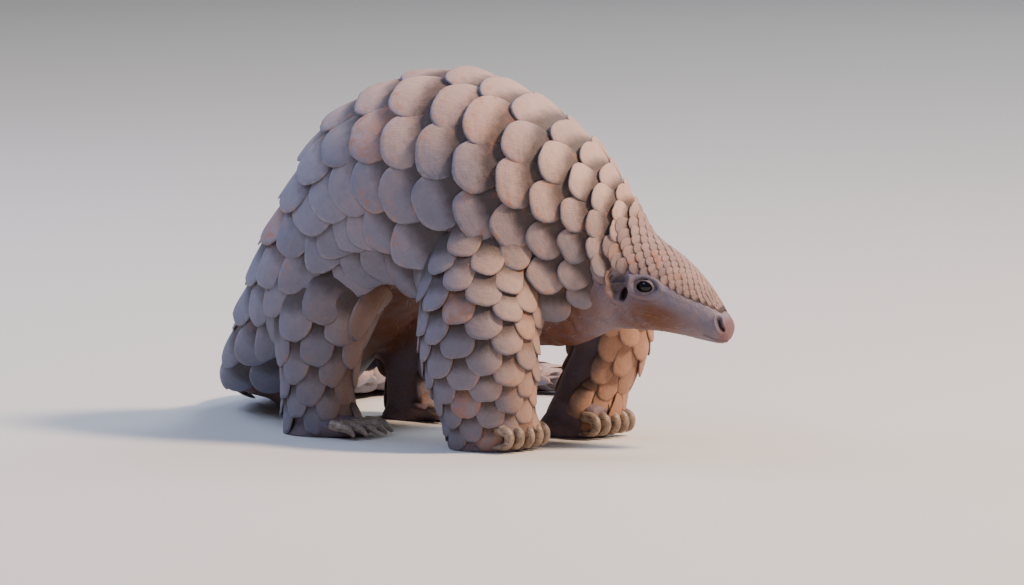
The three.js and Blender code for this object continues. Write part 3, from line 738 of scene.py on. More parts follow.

# %% [markdown]
# The ear is a low cup with a slanting fold across it and a canal at its front, and the canal and the cup are
# painted dark as shade. Its rim, already there as a ridge, is paler and warmer than the skin round it.

# %% Ears
EAR, CANAL = (0.246, 1.58), (0.2315, 1.72)  # share and angle
CUP_HALF, CANAL_HALF = (6.6, 9.2), (2.3, 4.4)  # mm, along and up
for side in (-1, 1):
    ahead, crown, out, outward = seen_from(EAR[0], side * EAR[1])
    q = np.hypot((ahead - 0.4) / CUP_HALF[0], crown / CUP_HALF[1])
    cup = -3.4 * smooth((1.15 - q) / 0.7) + 0.5 * hump(q - 1.25, 0.2) * (ahead > 0)
    fold = np.abs((crown - 0.6) * 0.9 - ahead * 0.45)
    cup = cup + 1.7 * hump(fold, 1.3) * smooth((1.0 - q) / 0.5)
    canal_ahead, canal_crown, _, _ = seen_from(CANAL[0], side * CANAL[1])
    canal = np.hypot(canal_ahead / CANAL_HALF[0], canal_crown / CANAL_HALF[1])
    cup = cup - 5.5 * smooth((1.3 - canal) / 0.7)
    near = (np.hypot(ahead, crown) < FEATURE_REACH) & (np.abs(out) < FEATURE_DEPTH)
    moved[near] += (cup[:, None] * outward)[near]
    # Painted shade in the canal and in the hollow of the cup.
    dark = np.maximum(dark, near * (0.95 * smooth((1.25 - canal) / 0.5) + 0.62 * smooth((1.0 - q) / 0.45)))
    rim = line_distance([(share, angle) for share, angle, _ in EAR_RIM], side)
    tan = np.maximum(tan, smooth((3.4 - rim) / 1.6) * (out > -0.3))
print(int((tan > 0.5).sum()), "vertices on the rims of the ears")

# %% [markdown]
# The nostrils are short slanting slits with a raised edge, and the small mouth is a groove under the nose.
# Both are drawn as lines, and the skin is pressed in by its distance from them and painted dark in them, as
# shade.

# %% Nostrils and mouth
NOSTRIL = [(0.074, 1.02), (0.067, 1.14), (0.056, 1.30), (0.040, 1.42)]  # shares and angles
MOUTH = [(0.088, 2.22), (0.062, 2.30), (0.040, 2.42), (0.024, 2.65), (0.014, 3.10)]
for side in (-1, 1):
    slit, lips = line_distance(NOSTRIL, side), line_distance(MOUTH, side)
    deep = (-3.0 * hump(slit, 1.6) + 0.6 * hump(slit - 3.0, 1.0) - 0.9 * hump(lips, 0.6)
            + 0.3 * hump(lips - 1.4, 0.6))
    moved += deep[:, None] * outwards
    # Painted shade inside the nostrils and along the mouth.
    dark = np.maximum(dark, np.maximum(hump(slit, 1.5), 0.75 * hump(lips, 0.55)))
print("deepest groove", round(-deep.min(), 1), "mm")

# %% [markdown]
# The bare skin is lumpy and slack: pea-sized lumps on the cheeks, folds across the throat that run from side
# to side, and a swollen pad at the nose. Smooth noise gives the lumps and bends the folds.

# %% Lumps, folds and the pad of the nose
from mathutils import noise

LUMP, SMALL_LUMP, FOLD_BEND = 2.4, 1.1, 14  # mm
LUMP_HEIGHT, FOLD_HEIGHT, PAD_HEIGHT = 0.20, 0.45, 0.7


def lump(place):
    """The height of the lumps at a place, about -1 to 1."""
    return noise.noise(Vector(place) / LUMP) + 0.6 * noise.noise(Vector(place) / SMALL_LUMP)


def wave(place):
    """The height of the throat's folds at a place, -1 to 1."""
    return math.sin(place[0] / 1.5 + 3 * noise.noise(Vector(place) / FOLD_BEND))


bare = smooth((station("nape") - head_share) / 0.03) * smooth((np.abs(head_angle) - 0.9) / 0.3) * on_head
lumps = np.array([lump(place) if wanted > 0 else 0.0 for place, wanted in zip(face, bare)])
slack = smooth((head_share - 0.16) / 0.08) * smooth((np.abs(head_angle) - 1.8) / 0.4) * (far < 0.01)
slack *= smooth((station("neck") + 0.03 - head_share) / 0.03)
waves = np.array([wave(place) if wanted > 0 else 0.0 for place, wanted in zip(face, slack)])
moved += ((LUMP_HEIGHT * lumps * bare + FOLD_HEIGHT * waves * slack)[:, None]) * outwards
pad = hump(head_share - 0.03, 0.022) * hump(np.abs(head_angle), 1.4) * on_head
moved += (PAD_HEIGHT * pad)[:, None] * outwards
moved[:, 2] = np.maximum(moved[:, 2], 0.2)  # nothing goes under the floor
set_places(skin_mesh, in_frame(moved))
print("skin moved by up to", round(np.linalg.norm(moved - face, axis=1).max(), 1), "mm on the face")

# %% [markdown]
# ## One scale
# A pangolin's scale is a shield of horn. It grows from a root under the scales ahead of it, widens, and ends
# in a worn round edge. An outline could be extruded, but its rim would be sharp. So the master is a ball
# pressed flat: its upper half becomes the face in rings that crowd at the rim, and its lower half closes it
# underneath. Distances from the middle are kept as an attribute for the materials, and the plan as a UV map.

# %% Master scale
SCALE_THICK = 1.25  # mm at the rim
FACE_RINGS = [0.0, 0.34, 0.62, 0.83, 0.95]  # how far out each ring of the face lies
BALL_RINGS = 10


def master_scale(name, tip, shoulder, root, around=26):
    """A flat scale 1 wide, and 1 long from its root at x -0.5. Tip is 0 for round and 1 for pointed."""
    bm = bmesh.new()
    bmesh.ops.create_uvsphere(bm, u_segments=around, v_segments=BALL_RINGS, radius=1)
    low = [v for v in bm.verts if v.co.z < -0.4]
    bmesh.ops.delete(bm, geom=low, context="VERTS")
    bmesh.ops.holes_fill(bm, edges=[e for e in bm.edges if e.is_boundary])
    bmesh.ops.recalc_face_normals(bm, faces=bm.faces)
    rim = bm.verts.layers.float.new("rim")
    for vertex in bm.verts:
        x, y, z = vertex.co
        turn = math.atan2(y, x)
        ring = round((90 - math.degrees(math.asin(max(-1, min(1, z))))) / (180 / BALL_RINGS))
        out = FACE_RINGS[ring] if ring < 5 else (1.0 if ring == 5 else 0.94)
        ahead, beside = math.cos(turn), abs(math.sin(turn))
        if ahead > 0:  # the free edge, round or drawn out to a point
            along = shoulder + (0.5 - shoulder) * out * ahead ** (0.82 + 0.18 * tip)
            across = 0.5 * out * beside ** (0.74 + 0.4 * tip * ahead) * (1 - 0.24 * tip * ahead)
        else:  # the root, which is narrower
            along = shoulder + (0.5 + shoulder) * out * ahead
            across = 0.5 * out * beside ** 0.62 * (1 - (1 - root) * (-ahead) ** 1.5)
        down = 0 if ring < 5 else (-0.5 if ring == 5 else -1)
        vertex.co = (along, math.copysign(across, y), down)
        vertex[rim] = min(out, 1)
    plan = bm.loops.layers.uv.new("plan")
    for face in bm.faces:
        for loop in face.loops:
            loop[plan].uv = (loop.vert.co.x + 0.5, loop.vert.co.y + 0.5)
    made = mesh_of(bm, name)
    print(name, "master:", triangles_in(made), "triangles")
    return made

# %% Four masters
MASTERS = {
    "broad": master_scale("broad", tip=0.0, shoulder=0.06, root=0.62),
    "shield": master_scale("shield", tip=0.45, shoulder=0.02, root=0.62),
    "pointed": master_scale("pointed", tip=1.0, shoulder=-0.06, root=0.6),
    "small": master_scale("small", tip=0.25, shoulder=0.04, root=0.7, around=16),
}

# %% [markdown]
# ## Laying the scales
# A real scale is stiff, and follows only the broad curve of the body under it. Copies that are all alike
# would stand off it on the bends. So nine places under each scale give its middle, its directions and that
# curve, and the master is bent to it, with its root sunk and its tip raised. The whole coat of a region is
# one mesh, made by an Array modifier, with each copy moved to its place.

# %% Where a scale lies
PATCH_ALONG, PATCH_ACROSS = (-0.42, 0.0, 0.38), (-0.4, 0.0, 0.4)  # of its length and its width
HOLLOW, ROUNDED = 0.002, -0.02  # mm per mm squared: the most that a scale is bent either way


def patch_under(limb, share, angle, long, wide, turn):
    """Where a scale lies: its middle, its directions, and how the surface under it curves (mm per mm)."""
    here = limb.point(share, angle)
    by_share = (limb.point(min(share + 0.002, 1), angle) - limb.point(max(share - 0.002, 0), angle)) / 0.004
    by_angle = (limb.point(share, angle + 0.01) - here) / 0.01
    per_share = np.linalg.norm(by_share)
    backward = by_share / per_share
    across = unit(by_angle - backward * (by_angle @ backward))
    x, y = (grid.ravel() for grid in np.meshgrid(PATCH_ALONG, PATCH_ACROSS))
    back = x * long * math.cos(turn) - y * wide * math.sin(turn)
    round_by = (x * long * math.sin(turn) + y * wide * math.cos(turn)) / (by_angle @ across)
    shares = np.clip(share + (back - round_by * (by_angle @ backward)) / per_share, 0, 1)
    found = [outer.find_nearest(Vector(spot)) for spot in in_frame(limb.point(shares, angle + round_by))]
    places = np.array([place for place, *_ in found])
    normal = unit(np.mean([normal for _, normal, *_ in found], 0))
    middle = places[4]
    ahead = places[[2, 5, 8]].mean(0) - places[[0, 3, 6]].mean(0)
    ahead = unit(ahead - normal * (ahead @ normal))
    side = np.cross(normal, ahead)
    away = (places - middle) / MM
    u, v, height = away @ ahead, away @ side, away @ normal
    fit = np.linalg.lstsq(np.stack([np.ones(9), u, v, u * u, v * v], 1), height, rcond=None)[0]
    fit[3:] = np.clip(fit[3:], ROUNDED, HOLLOW)
    return middle, ahead, side, normal, fit


bent = patch_under(body, station("back"), 0.0, 50, 40, 0.0)[-1][3:]
print("a scale of the back is bent by", np.round(bent, 4), "mm per mm squared, along and across")

# %% The coat of a region
draw = random.Random(7)
WEAR = 0.022  # how far the worn edge wanders, as a share of the scale
FLOOR_GAP = 0.0003  # m


class Coat:
    """Scales gathered for one piece, each with its place, its measures and its chance values."""

    def __init__(self, master):
        self.mesh = MASTERS[master]
        self.master = places_of(self.mesh)
        self.laid, self.tone, self.root = [], [], []

    def add(self, limb, share, angle, long, wide, rise, turn, bend=0.2, thick=SCALE_THICK, proud=0.0):
        """Lays one scale, in mm. Turn is its heading from straight back, proud how far its tip lifts off."""
        middle, ahead, side, normal, fit = patch_under(limb, share, angle, long, wide, turn)
        x, y, z = self.master.T
        around = np.arctan2(y, x)
        worn = sum(draw.uniform(-WEAR, WEAR) * np.cos(waves * around + draw.uniform(0, 6.28))
                   for waves in (2, 3, 5, 7))
        x, y = x * (1 + worn), y * (1 + worn)
        u, v = x * long, y * wide
        tilt = draw.uniform(-0.12, 0.12) * rise
        lift = (-rise * np.clip(0.5 - x, 0, 1.2) ** 1.1 - bend * rise * (2 * y) ** 2 + 2 * tilt * y
                + z * thick + proud * np.clip(x + 0.1, 0, 1) * 2 + draw.uniform(-0.06, 0.06) * rise)
        lift += fit @ np.stack([np.ones_like(u), u, v, u * u, v * v])
        placed = u[:, None] * ahead + v[:, None] * side + lift[:, None] * normal
        placed = middle + placed * MM
        placed[:, 2] = np.maximum(placed[:, 2], FLOOR_GAP)  # what lies on the ground is flattened by it
        self.laid.append(placed)
        self.tone.append(draw.random())
        self.root.append((share, angle))

    def bake_map(self, mesh):
        """Gives each scale its own cell of a map, laid out as the body is unwrapped: along it, then round."""
        count = len(self.laid)
        side = math.ceil(math.sqrt(count))
        order = sorted(range(count), key=lambda i: self.root[i][0])
        cells = np.empty((count, 2))
        for band in range(side):
            members = sorted(order[band * side:(band + 1) * side], key=lambda i: self.root[i][1])
            for place, i in enumerate(members):
                cells[i] = band, place
        corners = np.empty(len(mesh.loops) * 2)
        mesh.uv_layers["plan"].data.foreach_get("uv", corners)
        corners = corners.reshape(count, -1, 2)
        corners = (cells[:, None] + 0.04 + 0.92 * np.clip(corners, 0, 1)) / side
        mesh.uv_layers.new(name="OFBake").data.foreach_set("uv", corners.ravel())

    def piece(self, name, material, slot_name="scales"):
        """Makes one piece of all the scales laid."""
        count = len(self.laid)
        mesh = with_modifier(self.mesh.copy(), "ARRAY", count=count, use_relative_offset=False)
        set_places(mesh, np.vstack(self.laid))
        mesh.attributes.new("tone", "FLOAT", "POINT").data.foreach_set(
            "value", np.repeat(self.tone, len(self.master)))
        self.bake_map(mesh)
        made = make_object(name, mesh, material)
        print(name, count, "scales,", triangles_in(mesh), "triangles")
        return made

# %% How deep a place lies in a limb
def depth_in(limb, place):
    """How far out a place in mm lies from a limb's line, 1 being its surface."""
    share = np.linspace(0, 1, 80)
    centre, along, left, up = limb.frame(share)
    away = place - centre
    wide, above, below = np.moveaxis(limb.size(share), -1, 0)
    high = np.sum(away * up, 1)
    out = np.hypot(np.sum(away * left, 1) / wide, high / np.where(high > 0, above, below))
    beside = np.abs(np.sum(away * along, 1)) < 9
    return out[beside].min() if beside.any() else 9.0


print("the eye lies", round(depth_in(body, eye_place), 2), "of the way out from the line of the head")

# %% [markdown]
# ## Materials as recipes
# A material is a small tree of nodes. One function adds a node, and a recipe says which are needed. Each of
# its steps names what comes out, how it is made, and from what: numbers, colours, or the names of what came
# out of earlier steps. A how that is not in the table is an operation of a Math node.

# %% Recipes
HOW = {  # the node, its settings, the sockets that a step fills in order, and the output that it gives
    "PLACE": ("ShaderNodeTexCoord", {}, (), "Object"),
    "NORMAL": ("ShaderNodeNewGeometry", {}, (), "Normal"),
    "PLAN": ("ShaderNodeUVMap", {"uv_map": "plan"}, (), 0),
    "X OF": ("ShaderNodeSeparateXYZ", {}, (0,), 0),
    "Y OF": ("ShaderNodeSeparateXYZ", {}, (0,), 1),
    "VECTOR": ("ShaderNodeCombineXYZ", {}, (0, 1, 2), 0),
    "STRETCH": ("ShaderNodeMapping", {}, ("Vector", "Scale"), 0),
    "NOISE": ("ShaderNodeTexNoise", {}, ("Vector", "Scale", "Detail", "Roughness", "Distortion"), "Fac"),
    "CELLS": ("ShaderNodeTexVoronoi", {}, ("Vector", "Scale"), "Distance"),
    "FACING": ("ShaderNodeVectorMath", {"operation": "DOT_PRODUCT"}, (0, 1), "Value"),
    "SMOOTHSTEP": ("ShaderNodeMapRange", {"interpolation_type": "SMOOTHSTEP"},
                   ("Value", "From Min", "From Max", "To Min", "To Max"), 0),
    "MIX": ("ShaderNodeMix", {"data_type": "RGBA"}, (0, 6, 7), 2),
    "SHADE": ("ShaderNodeMix", {"data_type": "RGBA", "blend_type": "MULTIPLY"}, (0, 6, 7), 2),
    "BUMP": ("ShaderNodeBump", {}, ("Height", "Distance", "Strength", "Normal"), 0),
}
print("kinds of step:", ", ".join(HOW))

# %% Nodes from a recipe
def add_node(tree, kind, inputs, **settings):
    """Adds a node with its settings. An input is linked where it is a socket, and set to its value if not."""
    node = tree.nodes.new(kind)
    for key, value in settings.items():
        setattr(node, key, value)
    for socket, value in inputs.items():
        if isinstance(value, bpy.types.NodeSocket):
            tree.links.new(value, node.inputs[socket])
        else:
            node.inputs[socket].default_value = value
    return node


def follow(material, recipe, attributes=()):
    """Adds the nodes of a recipe, and links what it calls colour and relief to the material's shader."""
    tree = material.node_tree
    made = {name: add_node(tree, "ShaderNodeAttribute", {}, attribute_name=name).outputs["Fac"]
            for name in attributes}
    for name, how, *given in recipe:
        kind, settings, sockets, output = HOW.get(how, ("ShaderNodeMath", {"operation": how}, (0, 1, 2), 0))
        inputs = dict(zip(sockets, given))
        for socket, value in inputs.items():
            if isinstance(value, str):
                inputs[socket] = colour(value) if value.startswith("#") else made[value]
        made[name] = add_node(tree, kind, inputs, **settings).outputs[output]
    shader = tree.nodes["Principled BSDF"]
    tree.links.new(made["colour"], shader.inputs["Base Color"])
    if "relief" in made:
        tree.links.new(made["relief"], shader.inputs["Normal"])
    print(material.name + ":", len(tree.nodes), "nodes")
    return material


# %% [markdown]
# ## Horn
# The scales are keratin, grown in layers from the root, so fine ridges fan out from it and growth lines cross
# them. The ridges and lines are read from the plan of each scale, and a chance value, its tone, makes no two
# alike. Dust, soil and grit lie on the animal as a whole, so they are read from the place on it.

# %% Patterns of the horn
RIDGES = 52.0  # over the width of a scale; real ones are finer, but would not show
GROWTH_LINES = 16.0  # over its length; the real ones are finer too
FAN_FROM = 0.18  # how far behind the root the ridges would meet, as a share of the length
DUST_PATCH, SOIL_SPOT, GRIT = 0.055, 0.007, 0.0008  # m
HORN_PATTERNS = [
    ("place", "PLACE"),
    ("plan", "PLAN"),
    ("from root", "X OF", "plan"),
    ("from side", "Y OF", "plan"),
    ("along", "ADD", "from root", FAN_FROM),
    ("across", "SUBTRACT", "from side", 0.5),
    ("fan", "ARCTAN2", "across", "along"),
    ("along squared", "MULTIPLY", "along", "along"),
    ("across squared", "MULTIPLY", "across", "across"),
    ("reach squared", "ADD", "along squared", "across squared"),
    ("reach", "POWER", "reach squared", 0.5),
    ("each", "MULTIPLY", "tone", 37.0),
    ("over ridges", "MULTIPLY", "fan", RIDGES),
    ("down ridges", "MULTIPLY", "reach", 5.0),
    ("on ridges", "VECTOR", "over ridges", "down ridges", "each"),
    ("ridges", "NOISE", "on ridges", 1.0, 4.0),
    ("along lines", "MULTIPLY", "fan", 2.5),
    ("over lines", "MULTIPLY", "reach", GROWTH_LINES),
    ("on lines", "VECTOR", "along lines", "over lines", "each"),
    ("lines", "NOISE", "on lines", 1.0, 3.0),
    ("patches", "NOISE", "place", 1 / DUST_PATCH, 4.0, 0.6),
    ("spots", "NOISE", "place", 1 / SOIL_SPOT, 4.0, 0.65),
    ("grit", "NOISE", "place", 1 / GRIT, 2.0),
    ("normal", "NORMAL"),
]
print("patterns of the horn:", len(HORN_PATTERNS), "steps")

# %% [markdown]
# Years of burrowing leave the horn matt, with a pale worn rim and reddish soil in spots. Its colour is painted
# warm where it faces up towards the key light, as sunlight and dust together, and cool elsewhere, as shade.
# The root of each scale, under the tip of the one ahead, is painted dark as shade. A few scales, those with a
# high tone, are stained all over.

# %% Colour of the horn
# Up and towards the key light: horn that faces it is painted warm, as sunlight and dust.
UP_TOWARDS_KEY_LIGHT = (0.52, 0.18, 0.84)


def horn_colour(cool, warm, rim, soil, soil_share):
    """Steps for the colour: painted shade and sunlight with dust, a worn rim, shade at the root, and reddish
    soil.
    """
    return [
        # Painted light: warm as sunlight and dust where the horn faces the key light, cool as shade elsewhere.
        ("facing_key_light", "FACING", "normal", UP_TOWARDS_KEY_LIGHT),
        ("dust_and_sunlight", "MULTIPLY", "facing_key_light", 0.75),
        ("dust_and_sunlight", "MULTIPLY_ADD", "patches", 0.9, "dust_and_sunlight"),
        ("dust_and_sunlight", "MULTIPLY_ADD", "tone", 0.25, "dust_and_sunlight"),
        ("dust_and_sunlight", "SMOOTHSTEP", "dust_and_sunlight", 0.42, 1.28),
        ("colour", "MIX", "dust_and_sunlight", cool, warm),
        ("shade", "MULTIPLY_ADD", "ridges", 0.18, 0.68),
        ("shade", "MULTIPLY_ADD", "lines", 0.08, "shade"),
        ("shade", "MULTIPLY_ADD", "spots", 0.34, "shade"),
        ("own shade", "MULTIPLY_ADD", "tone", 0.18, 0.90),
        ("shade", "MULTIPLY", "shade", "own shade"),
        ("colour", "SHADE", 1.0, "colour", "shade"),
        ("worn", "SMOOTHSTEP", "rim", 0.86, 0.99, 0.0, 0.25),
        ("scuffs", "SMOOTHSTEP", "spots", 0.45, 0.65),
        ("worn", "MULTIPLY", "worn", "scuffs"),
        ("colour", "MIX", "worn", "colour", rim),
        # Painted shade: the root of each scale, under the tip of the one ahead, is darkened, broken a little
        # by spots.
        ("painted_root_shade", "MULTIPLY_ADD", "spots", 0.16, "from root"),
        ("painted_root_shade", "SMOOTHSTEP", "painted_root_shade", 0.46, 0.78, 0.85, 0.0),
        ("colour", "MIX", "painted_root_shade", "colour", "#3D322D"),
        ("soil", "SMOOTHSTEP", "spots", 0.50, 0.68),
        ("where soil is", "SMOOTHSTEP", "patches", 0.42, 0.62),
        ("soil", "MULTIPLY", "soil", "where soil is"),
        ("free edge", "SMOOTHSTEP", "rim", 0.3, 0.9),
        ("soil", "MULTIPLY", "soil", "free edge"),
        ("stained", "SMOOTHSTEP", "tone", 0.86, 0.95, 0.0, 0.7),
        ("blotches", "SMOOTHSTEP", "spots", 0.36, 0.60),
        ("soil", "MULTIPLY_ADD", "stained", "blotches", "soil"),
        ("soil", "MINIMUM", "soil", 1.0),
        ("soil", "MULTIPLY", "soil", soil_share),
        ("colour", "MIX", "soil", "colour", soil),
    ]


# %% [markdown]
# Clay cakes the fronts of the legs, which push through it. It is paler than the horn and hides its colour.
# The relief comes last: growth lines, ridges, soil and grit, from 0.2 to 0.8 mm deep.

# %% Horn material
ONWARD = (0.97, 0.05, -0.24)
HORN_RELIEF = [
    ("relief", "BUMP", "lines", 0.0004, 0.9),
    ("relief", "BUMP", "ridges", 0.0003, 0.9, "relief"),
    ("relief", "BUMP", "spots", 0.0008, 0.9, "relief"),
    ("relief", "BUMP", "grit", 0.0002, 0.9, "relief"),
]


def horn(name, colours, soil_share, clay=0.0, clay_from=0.9):
    """Dusty keratin: its colours as in shade, lit with dust, on the rim and of soil; and how much clay."""
    caked = [
        ("onward", "FACING", "normal", ONWARD),
        ("clay", "MULTIPLY_ADD", "patches", 0.5, "onward"),
        ("clay", "SMOOTHSTEP", "clay", clay_from, clay_from + 0.5, 0.0, clay),
        ("colour", "MIX", "clay", "colour", "#AD8165"),
    ]
    recipe = HORN_PATTERNS + horn_colour(*colours, soil_share) + (caked if clay else []) + HORN_RELIEF
    material = new_material(name, Roughness=0.62, Specular_IOR_Level=0.32)
    return follow(material, recipe, attributes=("tone", "rim"))


# %% [markdown]
# Keratin alone would shine like a fingernail, with an IOR near 1.5 and a roughness of 0.4. Under its dust it
# is rougher and gives less back, so the eye sees a dull plate. Its colour is painted to change with the way it
# faces: warm towards the key light, as sunlight and dust, cool away from it, as shade. The neck is sandier,
# the head's thin scales are browner, and the legs' are rubbed and caked.

# %% Horn of each region
scale_horn = horn("keratin, grown in layers and dusty", ("#7B7A89", "#B99C90", "#BFB0A4", "#A5673F"), 0.62)
neck_horn = horn("keratin of the neck, sandy", ("#75727C", "#BE9F90", "#C8B4A4", "#A9683F"), 0.7)
head_horn = horn("keratin of the head, thin", ("#7F7274", "#A2877E", "#C4AA98", "#A96138"), 0.6)
leg_horn = horn("keratin of the legs, rubbed", ("#74717D", "#A68D80", "#B5A396", "#955B38"), 0.6, clay=0.6)
# The left foreleg's copy is caked with more clay, and painted warmer and paler as the leg that stands in the
# sun.
sunlit_clay_horn = horn("keratin of a leg caked with clay", ("#84726B", "#A98A76", "#B5A396", "#A5633C"), 0.7,
                 clay=0.8, clay_from=0.45)

# %% [markdown]
# ## Coats
# The scales stand in a lattice: each row lies half a step behind its neighbours. It is walked ring by ring
# from the nape to the tip of the tail, with the step, the rise and the reach of the coat read at each ring.
# Low on the sides the scales point downwards, and they ride over the tops of the legs.

# %% Rows and sizes
EAR_MIDDLE, EAR_ROOM = (0.249, 1.56), 9.0  # share and angle, and mm
TRUNK_ROWS, TAIL_ROWS = 5, 4
CROWDING = 0.88  # below 1 the rows stand closer together low on the sides


def at_ear(place):
    """Whether a place in mm lies on an ear, where no scale grows."""
    middles = [body.point(EAR_MIDDLE[0], side * EAR_MIDDLE[1]) for side in (-1, 1)]
    return min(np.linalg.norm(place - middle) for middle in middles) < EAR_ROOM


def row_angle(row, rows, reach):
    """The angle of a row, counted from the spine, and the spacing of the rows there."""
    def angle_of(count):
        return math.radians(reach) * count ** CROWDING / (rows + 0.2) ** CROWDING

    beyond = angle_of(abs(row) + 0.5)
    if not row:
        return 0.0, 2 * beyond
    return math.copysign(angle_of(abs(row)), row), beyond - angle_of(abs(row) - 0.5)


def cover(step, spacing, turn):
    """Length and width in mm of a scale that covers its share of a lattice, whichever way it points."""
    down = math.sin(turn) ** 2
    long = 1.75 * step * (1 - down) + 1.32 * spacing * down
    wide = 1.22 * spacing * (1 - down) + 1.72 * step * down
    return long, wide


print("rows on the back at", [round(math.degrees(row_angle(row, TRUNK_ROWS, 131)[0])) for row in range(6)])

# %% Scales of the trunk and the tail
COAT_MASTERS = {"neck_scales": "broad", "back_scales": "broad", "flank_scales": "pointed",
                "tail_scales": "shield"}
LOW_ROW = 3  # the last row of the back; the ones below it are the flank's
LOWEST = 5  # mm above the floor
TAIL_TIP = [(0.0, 0.988), (1.5, 0.978), (-1.5, 0.978), (0.8, 0.966), (-0.8, 0.966)]  # angle and share
coats = {name: Coat(master) for name, master in COAT_MASTERS.items()}
share, ring = station("nape") - 0.016, 0
while share < 0.985:
    step, rise, reach, turn = coat(share)
    on_tail = share > station("rump") + 0.03
    rows = TAIL_ROWS if on_tail else TRUNK_ROWS
    stretch = np.linalg.norm(body.point(share + 0.002, 1.0) - body.point(share, 1.0)) / 0.002
    for row in range(-rows, rows + 1):
        if (row + ring) % 2:
            continue
        angle, spacing = row_angle(row, rows, reach)
        angle += draw.uniform(-0.015, 0.015)
        place = body.point(share, angle)
        to_leg = min(depth_in(leg, place) for leg in legs.values())
        if place[2] < LOWEST or at_ear(place) or to_leg < 0.86:
            continue
        apart = np.linalg.norm(body.point(share, angle + 0.02) - place) / 0.02 * spacing
        heading = math.radians(min(max(turn, 0) * abs(angle) / (math.pi / 2), 84)) * math.copysign(1, angle)
        long, wide = cover(step, apart, heading)
        if on_tail:
            name = "tail_scales"
        elif share < station("shoulders") - 0.01:
            name = "neck_scales"
        else:
            name = "flank_scales" if abs(row) > LOW_ROW else "back_scales"
        proud = 0.5
        if name != "tail_scales" and abs(row) > LOW_ROW:
            proud = 2.2 + 3.5 * smooth((1.6 - to_leg) / 0.5)
        coats[name].add(body, share, angle, long=long * draw.uniform(0.96, 1.05),
                        wide=wide * draw.uniform(0.95, 1.06), rise=rise, proud=proud,
                        turn=heading + draw.uniform(-0.07, 0.07))
    share += step / 2 / stretch
    ring += 1
for angle, back in TAIL_TIP:
    coats["tail_scales"].add(body, back, angle, long=21, wide=14, rise=1.6, turn=0.0)
for name, gathered in coats.items():
    gathered.piece(name, neck_horn if name == "neck_scales" else scale_horn)

# %% [markdown]
# The legs carry smaller scales in rings that point down to the toes. They start where the leg leaves the
# trunk and thin out on the inner side, which is bare.

# %% Scales of the legs
LEG_STEP = {"fore": (20, 14), "hind": (31, 15)}  # mm between rings, at the top and at the toes
LEG_AROUND = {"fore": 14, "hind": 12}
LEG_BARE = 2.15  # radians from the outer side at which the scales end
LEG_LOWEST = 12  # mm above the floor
for name, leg in legs.items():
    gathered = Coat("broad")
    outside = -1.2 if name.endswith("left") else 1.2
    spacing = 2 * math.pi / LEG_AROUND[name[:4]]
    share, ring = 0.06, 0
    while share < 0.87:
        step = LEG_STEP[name[:4]][0] * (1 - share) + LEG_STEP[name[:4]][1] * share
        stretch = np.linalg.norm(leg.line(share + 0.002) - leg.line(share)) / 0.002
        for row in range(LEG_AROUND[name[:4]]):
            if (row + ring) % 2:
                continue
            angle = row * spacing + draw.uniform(-0.03, 0.03)
            inward = abs((angle - outside + math.pi) % (2 * math.pi) - math.pi)
            place = leg.point(share, angle)
            if inward > LEG_BARE or place[2] < LEG_LOWEST or depth_in(body, place) < 0.93:
                continue
            apart = np.linalg.norm(leg.point(share, angle + 0.02) - place) / 0.02 * spacing
            gathered.add(leg, share, angle, long=step * 1.75 * draw.uniform(0.95, 1.06),
                         wide=apart * 1.3 * draw.uniform(0.94, 1.06), rise=LEG_RISE,
                         turn=draw.uniform(-0.1, 0.1))
        share += step / 2 / stretch
        ring += 1
    gathered.piece(name.replace("leg_", "leg_scales_"), sunlit_clay_horn if name == "foreleg_left" else leg_horn)

# %% [markdown]
# The head's shield is made of many small scales, down to the nose. They are nearly flat and lie close, so
# that only a point of painted shade, at their roots, shows where three of them meet.

# %% Scales of the head
HEAD_ROWS = 8
gathered = Coat("small")
share, ring = station("muzzle") - 0.004, 0
while share < station("nape") - 0.01:
    step, rise, reach, turn = coat(share)
    spacing = math.radians(reach) / (HEAD_ROWS + 0.2)
    stretch = np.linalg.norm(body.point(share + 0.002, 0.6) - body.point(share, 0.6)) / 0.002
    for row in range(-HEAD_ROWS, HEAD_ROWS + 1):
        if (row + ring) % 2:
            continue
        angle = row * spacing + draw.uniform(-0.02, 0.02)
        place = body.point(share, angle)
        if at_ear(place):
            continue
        apart = np.linalg.norm(body.point(share, angle + 0.02) - place) / 0.02 * spacing
        gathered.add(body, share, angle, long=step * 1.6 * draw.uniform(0.97, 1.05),
                     wide=apart * 2.05 * draw.uniform(0.96, 1.04), rise=rise, thick=0.55, bend=0.1,
                     turn=math.radians(max(turn, 0)) * angle / (math.pi / 2) + draw.uniform(-0.05, 0.05))
    share += step / 2 / stretch
    ring += 1
gathered.piece("head_scales", head_horn)

# %% [markdown]
# ## Hide
# Where there are no scales the hide is bare: pinkish grey-brown on the face, pinker on the nose, warm on the
# rims of the ears, and stained with reddish soil on the throat and the cheeks, painted dark there as the shade
# under the jaw; its grooves and hollows are painted dark as shade. It is skin, with a typical roughness near
# 0.6 and a little light that passes under its surface, which softens the edges of shadows.
# Fine creases and pores break up what little shine it has.

